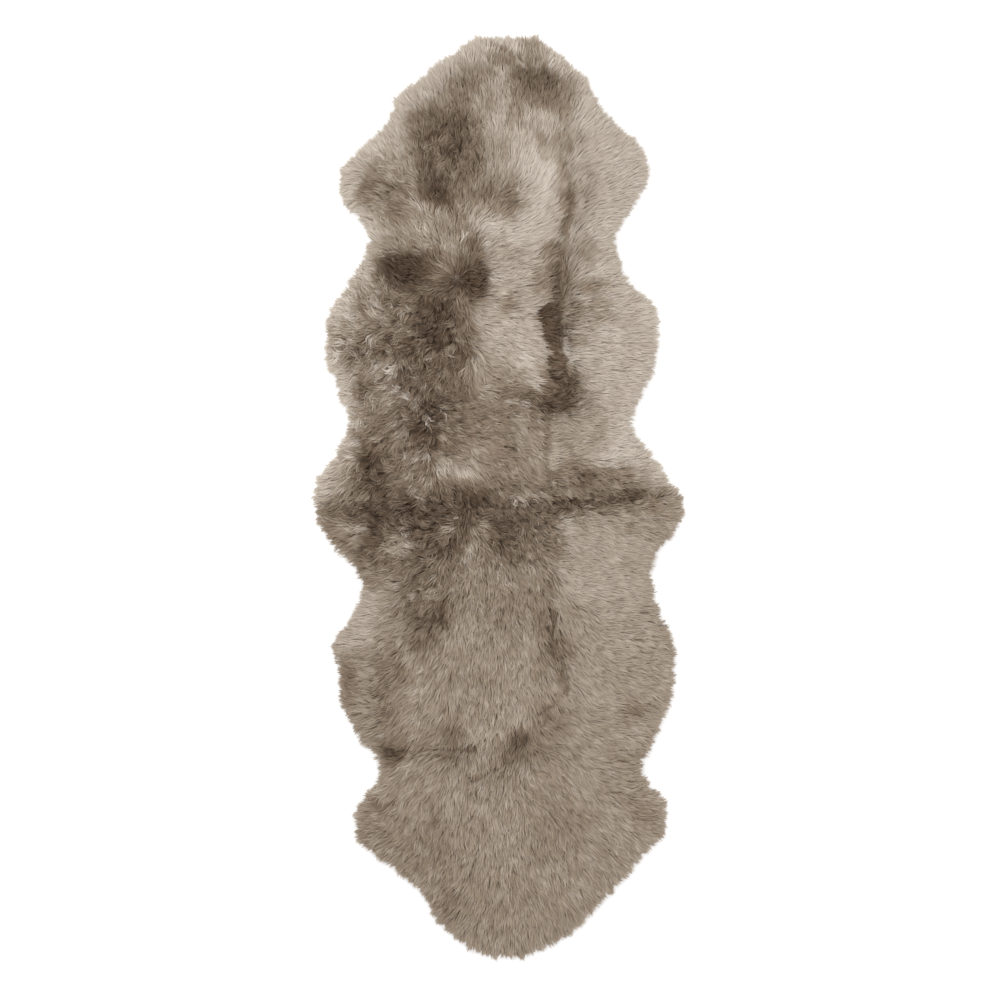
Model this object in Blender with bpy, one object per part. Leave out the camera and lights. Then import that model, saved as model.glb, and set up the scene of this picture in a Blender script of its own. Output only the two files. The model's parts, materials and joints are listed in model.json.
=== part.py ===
"""A double sheepskin rug: two long-wool pelts sewn end to end, lying flat with the wool up.

Units are metres, +Z up. +Y points to the head end, and the origin is under the middle of the rug.
Each pelt is one closed body that reaches as far as its wool does: a flat underside, a low rim
along the uneven outline, and a soft dome with the partings and hollows of the fleece.
"""

import math
from collections import namedtuple

import bmesh
import bpy
from mathutils import Vector
from mathutils.geometry import intersect_point_line

MM = 0.001

# Driving dimensions
LENGTH = 1800 * MM  # head end to tail end
LOFT = 50 * MM  # height of the wool in the middle of a pelt
RIM = 9 * MM  # height of the wool at the outline
ROUND_OVER = 80 * MM  # how far in from the outline the wool reaches its full height
SEAM_LEFT = 924 * MM  # where the seam meets the left edge, measured from the head end
SEAM_RIGHT = 903 * MM  # and the right edge
SEAM_GAP = 0.3 * MM
SEAM_DEPTH = 15 * MM  # how far the wool opens over the seam
SEAM_REACH = 42 * MM

# Sections of each pelt, along it and across it
ROWS = 52
COLUMNS = 24
END_CROWDING = 0.4  # 0 spaces the sections evenly, more brings them closer at the rounded end
EDGE_CROWDING = 0.55  # the same for the columns, at both edges

SHARP_ANGLE = math.radians(50)

# The outline, one row for each place where it turns. from_head runs down the rug and reach
# is measured out from its centre line, both in millimetres.
Edge = namedtuple("Edge", "place from_head reach")

LEFT_EDGE = [
    Edge("neck corner", 0, 41),
    Edge("neck", 8, 55),
    Edge("cheek", 66, 135),
    Edge("cheek", 120, 200),
    Edge("throat", 164, 217),
    Edge("shoulder", 222, 273),
    Edge("foreleg", 261, 312),
    Edge("foreleg", 312, 309),
    Edge("behind the foreleg", 359, 271),
    Edge("first waist", 402, 255),
    Edge("flank", 476, 291),
    Edge("flank lobe", 560, 338),
    Edge("flank lobe", 640, 338),
    Edge("belly", 671, 318),
    Edge("belly", 715, 308),
    Edge("second waist", 745, 294),
    Edge("above the seam", 827, 325),
    Edge("hind leg", 850, 350),
    Edge("seam lobe", 915, 361),
    Edge("hind leg", 963, 347),
    Edge("below the seam", 1002, 318),
    Edge("below the seam", 1041, 275),
    Edge("third waist", 1080, 265),
    Edge("flank", 1139, 292),
    Edge("flank lobe", 1197, 328),
    Edge("flank notch", 1234, 312),
    Edge("flank lobe", 1300, 309),
    Edge("haunch", 1373, 269),
    Edge("fourth waist", 1431, 232),
    Edge("hind leg", 1475, 256),
    Edge("hind leg", 1515, 281),
    Edge("hind leg", 1572, 276),
    Edge("rump", 1607, 231),
    Edge("rump", 1650, 176),
    Edge("rump", 1682, 144),
    Edge("rump", 1712, 133),
    Edge("tail", 1763, 82),
    Edge("tail", 1787, 45),
    Edge("tail tip", 1800, 12),
]

RIGHT_EDGE = [
    Edge("neck corner", 0, 80),
    Edge("neck", 10, 88),
    Edge("cheek", 86, 174),
    Edge("throat", 144, 203),
    Edge("shoulder", 210, 272),
    Edge("foreleg", 265, 294),
    Edge("behind the foreleg", 339, 258),
    Edge("first waist", 395, 226),
    Edge("flank", 476, 251),
    Edge("flank lobe", 534, 308),
    Edge("flank lobe", 575, 312),
    Edge("flank lobe", 651, 302),
    Edge("belly", 710, 274),
    Edge("second waist", 765, 257),
    Edge("above the seam", 807, 291),
    Edge("hind leg", 880, 341),
    Edge("seam lobe", 914, 361),
    Edge("hind leg", 960, 351),
    Edge("below the seam", 1000, 312),
    Edge("third waist", 1045, 296),
    Edge("flank", 1110, 307),
    Edge("flank lobe", 1200, 343),
    Edge("flank lobe", 1285, 338),
    Edge("haunch", 1373, 304),
    Edge("fourth waist", 1431, 277),
    Edge("hind leg", 1466, 296),
    Edge("hind leg", 1494, 326),
    Edge("hind leg", 1562, 325),
    Edge("rump", 1600, 279),
    Edge("rump", 1632, 255),
    Edge("rump", 1704, 187),
    Edge("tail", 1750, 145),
    Edge("tail", 1786, 75),
    Edge("tail tip", 1800, 45),
]

# Places where the wool parts or lies lower, and ridges where it stands higher. Each runs
# straight between two points, given by from_head and across (positive is the right-hand
# side), and fades out to its sides within half_width. All in millimetres.
Fold = namedtuple("Fold", "place head_1 across_1 head_2 across_2 half_width depth")

FOLDS = [
    Fold("crown hollow", 90, 55, 125, 125, 32, 8),
    Fold("shoulder hollow", 150, -95, 300, -110, 52, 10),
    Fold("foreleg crease", 250, -245, 320, -270, 18, 9),
    Fold("long parting, top", 230, 100, 400, 125, 26, 9),
    Fold("long parting, middle", 400, 125, 560, 92, 26, 11),
    Fold("long parting, foot", 560, 92, 710, 122, 30, 12),
    Fold("long parting, hook", 710, 122, 705, 20, 24, 8),
    Fold("ribs hollow", 430, -230, 445, -55, 40, 10),
    Fold("flank tangle", 560, -95, 660, -150, 60, 6),
    Fold("sheen ridge", 200, 60, 620, 45, 45, -3),
    Fold("parting below the seam", 970, 105, 1270, 125, 30, 7),
    Fold("left crease", 1388, -210, 1382, -80, 15, 8),
    Fold("slanting crease", 1437, -47, 1369, 60, 18, 8),
    Fold("haunch tuft", 1500, -128, 1540, -112, 22, 5),
]

WOOL_COLOURS = {
    "pelt_head": (0.36, 0.29, 0.23, 1.0),
    "pelt_tail": (0.32, 0.26, 0.20, 1.0),
}
WOOL_ROUGHNESS = 0.85


def remove_old_objects():
    """Empties the scene of whatever it held."""
    for old in list(bpy.data.objects):
        bpy.data.objects.remove(old, do_unlink=True)


def slopes_of(rows):
    """The outline's slope at each row, level where it turns, so that no lobe overshoots."""
    steps = [
        (after.reach - before.reach) / (after.from_head - before.from_head)
        for before, after in zip(rows, rows[1:])
    ]
    inner = [
        2 * a * b / (a + b) if a * b > 0 else 0.0
        for a, b in zip(steps, steps[1:])
    ]
    return [steps[0], *inner, steps[-1]]


def reach_at(rows, slopes, from_head):
    """How far the outline reaches from the centre line, on a smooth curve through the rows."""
    at = min(max(from_head / MM, rows[0].from_head), rows[-1].from_head)
    index = next(i for i in range(len(rows) - 1) if at <= rows[i + 1].from_head)
    start, end = rows[index], rows[index + 1]
    span = end.from_head - start.from_head
    t = (at - start.from_head) / span
    curve = (
        (1 + 2 * t) * (1 - t) ** 2 * start.reach
        + t * (1 - t) ** 2 * span * slopes[index]
        + t * t * (3 - 2 * t) * end.reach
        + t * t * (t - 1) * span * slopes[index + 1]
    )
    return curve * MM


def edge_point(side, from_head):
    """A point of the outline. side is -1 on the left and 1 on the right."""
    rows = LEFT_EDGE if side < 0 else RIGHT_EDGE
    reach = reach_at(rows, slopes_of(rows), from_head)
    return Vector((side * reach, LENGTH / 2 - from_head))


def outline_points(steps=240):
    """The whole outline as a closed chain of points, down the right side and up the left."""
    stations = [LENGTH * i / steps for i in range(steps + 1)]
    right = [edge_point(1, s) for s in stations]
    left = [edge_point(-1, s) for s in reversed(stations)]
    return right + left


def distance_to_segment(point, start, end):
    """The distance from a point to the stretch between two others, in plan."""
    nearest, along = intersect_point_line(point, start, end)
    if along < 0:
        nearest = start
    elif along > 1:
        nearest = end
    return (point - nearest.to_2d()).length


def distance_to_outline(point, outline):
    """The distance from a point to the nearest stretch of the outline."""
    return min(
        distance_to_segment(point, a, b)
        for a, b in zip(outline, outline[1:] + outline[:1])
    )


def fold_depth(point):
    """How much the partings, hollows and ridges lower the wool at a point."""
    depth = 0.0
    for fold in FOLDS:
        start = Vector((fold.across_1 * MM, LENGTH / 2 - fold.head_1 * MM))
        end = Vector((fold.across_2 * MM, LENGTH / 2 - fold.head_2 * MM))
        share = distance_to_segment(point, start, end) / (fold.half_width * MM)
        depth += fold.depth * MM * math.exp(-share * share)
    return depth


def wool_height(point, outline):
    """The top of the wool over a point: a quarter-round from the rim to the full loft."""
    inward = min(distance_to_outline(point, outline) / ROUND_OVER, 1.0)
    rise = math.sqrt(1 - (1 - inward) ** 2)
    seam_ends = (edge_point(-1, SEAM_LEFT), edge_point(1, SEAM_RIGHT))
    seam_share = distance_to_segment(point, *seam_ends) / SEAM_REACH
    lowered = fold_depth(point) + SEAM_DEPTH * math.exp(-seam_share * seam_share)
    return RIM + rise * (LOFT - RIM - lowered)


def crowded(share, crowding):
    """Spaces 0 to 1 more closely near 0."""
    return (1 - crowding) * share + crowding * (1 - math.cos(share * math.pi / 2))


def crowded_both(share, crowding):
    """Spaces 0 to 1 more closely near both ends."""
    return (1 - crowding) * share + crowding * (1 - math.cos(share * math.pi)) / 2


def section_ends(outer_end, seam_side, row):
    """The two outline points of one section, from the rounded end (row 0) to the seam."""
    share = crowded(row / ROWS, END_CROWDING)
    seam_left = SEAM_LEFT + seam_side * SEAM_GAP / 2
    seam_right = SEAM_RIGHT + seam_side * SEAM_GAP / 2
    left = outer_end + (seam_left - outer_end) * share
    right = outer_end + (seam_right - outer_end) * share
    return edge_point(-1, left), edge_point(1, right)


def loft_pelt(outer_end, seam_side):
    """One pelt between its rounded end and the seam. seam_side is -1 for the head pelt, whose
    edge lies before the seam, and 1 for the tail pelt."""
    bm = bmesh.new()
    outline = outline_points()
    top = []
    for row in range(ROWS + 1):
        left, right = section_ends(outer_end, seam_side, row)
        section = []
        for column in range(COLUMNS + 1):
            point = left.lerp(right, crowded_both(column / COLUMNS, EDGE_CROWDING))
            section.append(bm.verts.new((*point, wool_height(point, outline))))
        top.append(section)

    for near, far in zip(top, top[1:]):
        for i in range(COLUMNS):
            bm.faces.new((near[i], near[i + 1], far[i + 1], far[i]))

    # The rim goes round once: along the rounded end, down the right, along the seam, up the left.
    rim = (
        top[0]
        + [section[-1] for section in top[1:]]
        + top[-1][-2::-1]
        + [section[0] for section in top[-2:0:-1]]
    )
    under = {v: bm.verts.new((v.co.x, v.co.y, 0.0)) for v in rim}
    for a, b in zip(rim, rim[1:] + rim[:1]):
        bm.faces.new((a, under[a], under[b], b))

    # The underside is one strip for each section. At both ends a strip fans out to its columns.
    end_row = [under[v] for v in top[0]]
    seam_row = [under[v] for v in top[-1]]
    left_side = [under[section[0]] for section in top]
    right_side = [under[section[-1]] for section in top]
    for row in range(1, ROWS - 1):
        bm.faces.new(
            (left_side[row], left_side[row + 1], right_side[row + 1], right_side[row])
        )
    for row, chain in ((1, end_row), (ROWS - 1, seam_row)):
        for a, b in zip(chain, chain[1:]):
            bm.faces.new((left_side[row], a, b))
        bm.faces.new((left_side[row], chain[-1], right_side[row]))

    bmesh.ops.recalc_face_normals(bm, faces=bm.faces)
    return bm


def wool_material(name):
    """The plain finish of one pelt's wool."""
    material = bpy.data.materials.new(name + "_wool")
    material.use_nodes = True
    shader = material.node_tree.nodes["Principled BSDF"]
    shader.inputs["Base Color"].default_value = WOOL_COLOURS[name]
    shader.inputs["Roughness"].default_value = WOOL_ROUGHNESS
    shader.inputs["Metallic"].default_value = 0.0
    material.diffuse_color = WOOL_COLOURS[name]
    return material


def make_pelt(name, outer_end, seam_side, collection):
    """One pelt as a named object in the rug's collection."""
    mesh = bpy.data.meshes.new(name)
    bm = loft_pelt(outer_end, seam_side)
    bm.to_mesh(mesh)
    bm.free()
    mesh.shade_smooth()
    mesh.set_sharp_from_angle(angle=SHARP_ANGLE)
    mesh.materials.append(wool_material(name))
    collection.objects.link(bpy.data.objects.new(name, mesh))


def main():
    remove_old_objects()
    rug = bpy.data.collections.new("sheepskin_rug")
    bpy.context.scene.collection.children.link(rug)
    make_pelt("pelt_head", 0.0, -1, rug)
    make_pelt("pelt_tail", LENGTH, 1, rug)


main()
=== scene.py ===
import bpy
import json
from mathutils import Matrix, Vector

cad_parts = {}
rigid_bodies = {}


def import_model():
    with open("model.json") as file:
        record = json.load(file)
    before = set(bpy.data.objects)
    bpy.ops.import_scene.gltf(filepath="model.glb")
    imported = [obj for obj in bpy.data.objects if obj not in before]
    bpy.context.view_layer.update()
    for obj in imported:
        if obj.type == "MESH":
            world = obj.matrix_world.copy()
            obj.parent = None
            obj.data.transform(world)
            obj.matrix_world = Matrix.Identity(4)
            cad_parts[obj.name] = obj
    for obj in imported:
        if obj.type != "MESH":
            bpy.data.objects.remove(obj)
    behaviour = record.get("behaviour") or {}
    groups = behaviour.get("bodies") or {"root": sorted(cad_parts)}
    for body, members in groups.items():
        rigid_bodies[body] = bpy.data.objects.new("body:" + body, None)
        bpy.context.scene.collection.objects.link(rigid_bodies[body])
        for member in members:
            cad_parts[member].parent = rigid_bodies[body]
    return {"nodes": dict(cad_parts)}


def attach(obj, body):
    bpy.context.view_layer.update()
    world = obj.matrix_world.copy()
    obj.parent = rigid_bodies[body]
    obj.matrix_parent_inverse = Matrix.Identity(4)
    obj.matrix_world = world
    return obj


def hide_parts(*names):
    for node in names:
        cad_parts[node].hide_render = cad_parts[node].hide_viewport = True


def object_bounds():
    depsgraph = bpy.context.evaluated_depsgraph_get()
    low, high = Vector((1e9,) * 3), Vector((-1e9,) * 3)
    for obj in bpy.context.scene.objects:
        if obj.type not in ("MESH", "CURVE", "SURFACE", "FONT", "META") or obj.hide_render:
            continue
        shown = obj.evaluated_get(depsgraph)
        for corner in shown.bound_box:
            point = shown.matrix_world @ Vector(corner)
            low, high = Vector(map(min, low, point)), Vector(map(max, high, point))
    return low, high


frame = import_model()
CAD_BOX = [list(corner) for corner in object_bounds()]

import json
import math

import bpy
import numpy as np
from bpy.props import FloatProperty, FloatVectorProperty, IntProperty, PointerProperty
from mathutils import Vector, noise
from mathutils.bvhtree import BVHTree

bl_info = {
    "name": "Sheepskin Rug",
    "version": (1, 0, 0),
    "blender": (4, 5, 0),
    "location": "View3D > Sidebar > Rug",
    "description": "Lays out a long-wool sheepskin rug of two pelts and grows its fleece",
    "category": "Add Mesh",
}

# ---------------------------------------------------------------------------------------------
# Measures. The tables are in millimetres: "head" is the distance from the head end of the rug,
# "across" is to the right of its middle line, seen from above with the head end up.
# Headings are in degrees: 0 points right, 90 towards the head end, -90 towards the tail end.
# ---------------------------------------------------------------------------------------------
MM = 0.001
SOLE_TOUCH = 0.00001          # m, how near the floor a vertex of the outline lies
OUTLINE_STEP = 0.003          # m, between the points that distances to the outline are taken from
CORNER_ROUNDING = 0.012       # m, over which the way out turns round a corner of the outline
CARRIER_ROWS, CARRIER_COLUMNS = 220, 150
EDGE_CROWDING = 0.05          # columns crowd towards the sides by this share
GROOVE_BANK = 4               # mm, that a parting's groove is wider than its shade on each side
SEAM_LIFT = 0.0012            # m, that the sewn edges stand off the floor, over their stitches
SEAM_REACH = 8                # mm, from the seam, in which they come down to it
STITCH_SIDES, STITCH_STEPS = 6, 7
PELTS = ("pelt_head", "pelt_tail")
BANDS = ("left", "back", "right")
BAND_CUTS = (0.36, 0.64)       # of the pelt's width, where one band of wool gives way to the next

# The way the wool lies: part of the pelt, head, across, heading, how far that holds.
HEAD_FLOW = (
    ("crown", 35, 0, 90, 58),
    ("crown left", 65, -85, 100, 58),
    ("left temple", 115, -145, 115, 58),
    ("left cheek", 175, -195, 128, 55),
    ("left foreleg top", 245, -220, 125, 43),
    ("left foreleg lobe", 290, -290, 195, 39),
    ("left foreleg root", 320, -210, 168, 39),
    ("left hollow", 380, -220, 125, 43),
    ("left flank notch", 440, -240, 160, 43),
    ("left flank", 500, -255, 140, 47),
    ("left flank lobe", 575, -300, 170, 55),
    ("left flank low", 670, -300, 190, 55),
    ("left waist", 760, -270, 215, 55),
    ("left hip", 835, -290, 225, 47),
    ("left seam lobe", 890, -320, 190, 43),
    ("brow", 115, -29, 92, 47),
    ("brow low", 203, -37, 98, 39),
    ("crown shade left", 90, 31, 92, 27),
    ("crown shade right", 94, 111, 68, 23),
    ("crown shade foot", 131, 123, 58, 18),
    ("neck lights right", 160, 111, 60, 20),
    ("neck lights", 172, 90, 82, 18),
    ("neck lights low", 199, 76, 74, 25),
    ("throat", 172, 45, 90, 20),
    ("throat left", 183, 23, 96, 18),
    ("throat foot", 226, 25, 88, 18),
    ("crown top", 51, 80, 88, 31),
    ("crown right", 96, 148, 60, 39),
    ("gloss", 261, 64, 62, 33),
    ("gloss foot", 343, 60, 44, 35),
    ("furrow left", 222, 103, 64, 23),
    ("furrow left", 300, 113, 60, 23),
    ("furrow left", 374, 105, 50, 23),
    ("furrow left", 441, 86, 40, 27),
    ("furrow left", 515, 72, 24, 25),
    ("furrow left", 583, 72, -18, 27),
    ("furrow left", 651, 80, -12, 25),
    ("furrow right", 222, 162, 44, 23),
    ("furrow right", 304, 174, 38, 23),
    ("furrow right", 374, 162, 38, 23),
    ("furrow right", 441, 152, 38, 23),
    ("furrow right", 507, 152, 22, 21),
    ("furrow middle", 417, 123, 56, 20),
    ("furrow middle", 466, 115, 60, 18),
    ("furrow middle", 503, 111, 60, 14),
    ("furrow right", 573, 142, -4, 25),
    ("furrow right", 655, 166, -10, 25),
    ("right of furrow", 417, 197, 24, 39),
    ("right of furrow", 515, 189, 8, 35),
    ("right of furrow", 603, 187, -4, 35),
    ("furrow blob", 698, 123, -4, 23),
    ("furrow foot", 760, 123, -24, 25),
    ("furrow foot", 737, 60, -42, 25),
    ("furrow foot", 737, 185, -8, 29),
    ("brow right", 115, 110, 68, 45),
    ("right temple", 125, 170, 58, 51),
    ("right cheek", 185, 195, 42, 51),
    ("right foreleg lobe", 240, 265, 35, 51),
    ("right foreleg root", 290, 215, 22, 51),
    ("right hollow", 360, 215, 15, 47),
    ("right notch", 415, 205, 15, 47),
    ("gloss foot", 363, 25, 20, 43),
    ("ribs upper", 408, 0, 10, 51),
    ("ribs", 495, 6, 4, 58),
    ("ribs low", 589, -2, -22, 51),
    ("ribs foot", 616, 49, -26, 35),
    ("right side", 515, 235, 5, 51),
    ("right side lobe", 575, 275, 0, 51),
    ("right side low", 650, 215, -4, 58),
    ("right waist", 720, 225, -8, 51),
    ("right waist low", 770, 195, 2, 47),
    ("right hip", 805, 255, 10, 47),
    ("right seam lobe", 880, 310, 2, 47),
    ("inner dark", 220, -85, 70, 47),
    ("inner dark foot", 320, -115, 96, 31),
    ("wisps", 220, -55, 56, 23),
    ("between", 320, -35, 80, 43),
    ("whorl west", 470, -155, 180, 27),
    ("whorl north west", 415, -135, 125, 31),
    ("whorl north", 415, -80, 85, 31),
    ("whorl north east", 415, -40, 60, 27),
    ("whorl south", 535, -95, 260, 35),
    ("whorl east", 485, -25, -10, 23),
    ("whorl near west", 476, -105, 178, 14),
    ("whorl near north", 454, -82, 92, 14),
    ("whorl near east", 476, -58, 0, 14),
    ("whorl near south", 497, -82, 268, 14),
    ("whorl near north west", 456, -101, 135, 12),
    ("whorl near south west", 495, -99, 218, 12),
    ("tousled middle", 575, -175, 200, 47),
    ("tousled", 650, -215, 230, 58),
    ("tousled right", 650, -95, 260, 51),
    ("tousled low", 730, -195, 200, 51),
    ("belly", 720, -95, -8, 47),
    ("belly low", 805, -86, -30, 39),
    ("belly foot", 850, -75, -62, 35),
    ("loin left", 700, -20, -8, 43),
    ("loin", 784, -6, -14, 31),
    ("loin foot", 850, -6, -34, 31),
    ("loin column", 772, 49, -46, 21),
    ("loin column", 831, 49, -50, 20),
    ("loin right", 788, 111, 2, 23),
    ("loin right", 835, 111, 8, 20),
    ("loin edge", 800, 166, 12, 31),
    ("hip spine", 865, 140, -26, 39),
    ("seam right", 890, 215, -16, 35),
    ("left low", 805, -195, 215, 47),
    ("left low foot", 865, -195, 190, 43),
)
TAIL_FLOW = (
    ("fountain head", 963, -64, -92, 12),
    ("fountain left", 963, -92, -155, 16),
    ("fountain far left", 983, -123, -145, 20),
    ("fountain right", 963, -37, -28, 16),
    ("fountain far right", 979, -2, -45, 21),
    ("fountain low", 1002, -57, -92, 20),
    ("fountain foot", 1020, -55, -92, 35),
    ("seam left", 930, -195, 180, 47),
    ("seam far left", 955, -290, -178, 47),
    ("left shoulder", 1020, -270, 150, 39),
    ("left shoulder in", 1020, -195, -160, 43),
    ("left waist", 1090, -235, -175, 43),
    ("left waist in", 1110, -165, -142, 39),
    ("left lobe", 1180, -290, 170, 43),
    ("left lobe low", 1240, -285, 155, 35),
    ("left lobe in", 1195, -215, -160, 39),
    ("left lobe foot", 1305, -260, 178, 39),
    ("inner left", 1205, -145, -120, 43),
    ("inner left low", 1295, -155, -125, 47),
    ("back", 1120, -45, -98, 51),
    ("back low", 1255, -35, -94, 58),
    ("spine top", 1020, 10, -68, 35),
    ("spine", 1140, 40, -70, 43),
    ("spine low", 1275, 50, -75, 47),
    ("streak", 1140, 95, -88, 27),
    ("right of streak", 1160, 140, -52, 35),
    ("right of streak low", 1255, 150, -42, 39),
    ("right shoulder in", 995, 170, -20, 39),
    ("right shoulder", 965, 265, -15, 51),
    ("right waist", 1060, 235, -8, 51),
    ("right waist low", 1140, 225, -10, 47),
    ("right lobe", 1205, 275, -15, 51),
    ("right lobe low", 1275, 255, -22, 47),
    ("right flank", 1325, 215, -4, 43),
    ("right flank low", 1390, 215, -18, 47),
    ("right notch", 1440, 245, 0, 43),
    ("right haunch lobe", 1520, 290, -10, 39),
    ("right haunch", 1530, 205, -42, 47),
    ("right haunch low", 1585, 235, -38, 43),
    ("loin right", 1375, 120, -34, 43),
    ("loin", 1460, 110, -52, 51),
    ("loin left", 1375, 0, -98, 47),
    ("crease left", 1355, -175, -135, 47),
    ("left notch", 1400, -220, 150, 31),
    ("left haunch top", 1460, -205, -132, 35),
    ("left haunch lobe", 1515, -260, 168, 35),
    ("left haunch", 1560, -230, -168, 39),
    ("left haunch in", 1490, -175, -120, 43),
    ("left rump", 1615, -185, -128, 47),
    ("left rump low", 1675, -115, -125, 43),
    ("rump left", 1570, -95, -108, 51),
    ("rump", 1550, -10, -92, 58),
    ("rump right", 1585, 90, -72, 55),
    ("right rump", 1625, 175, -55, 51),
    ("right rump low", 1695, 120, -62, 51),
    ("tail left", 1735, -65, -115, 43),
    ("tail", 1755, 0, -92, 51),
    ("tail right", 1745, 70, -75, 47),
)

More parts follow.
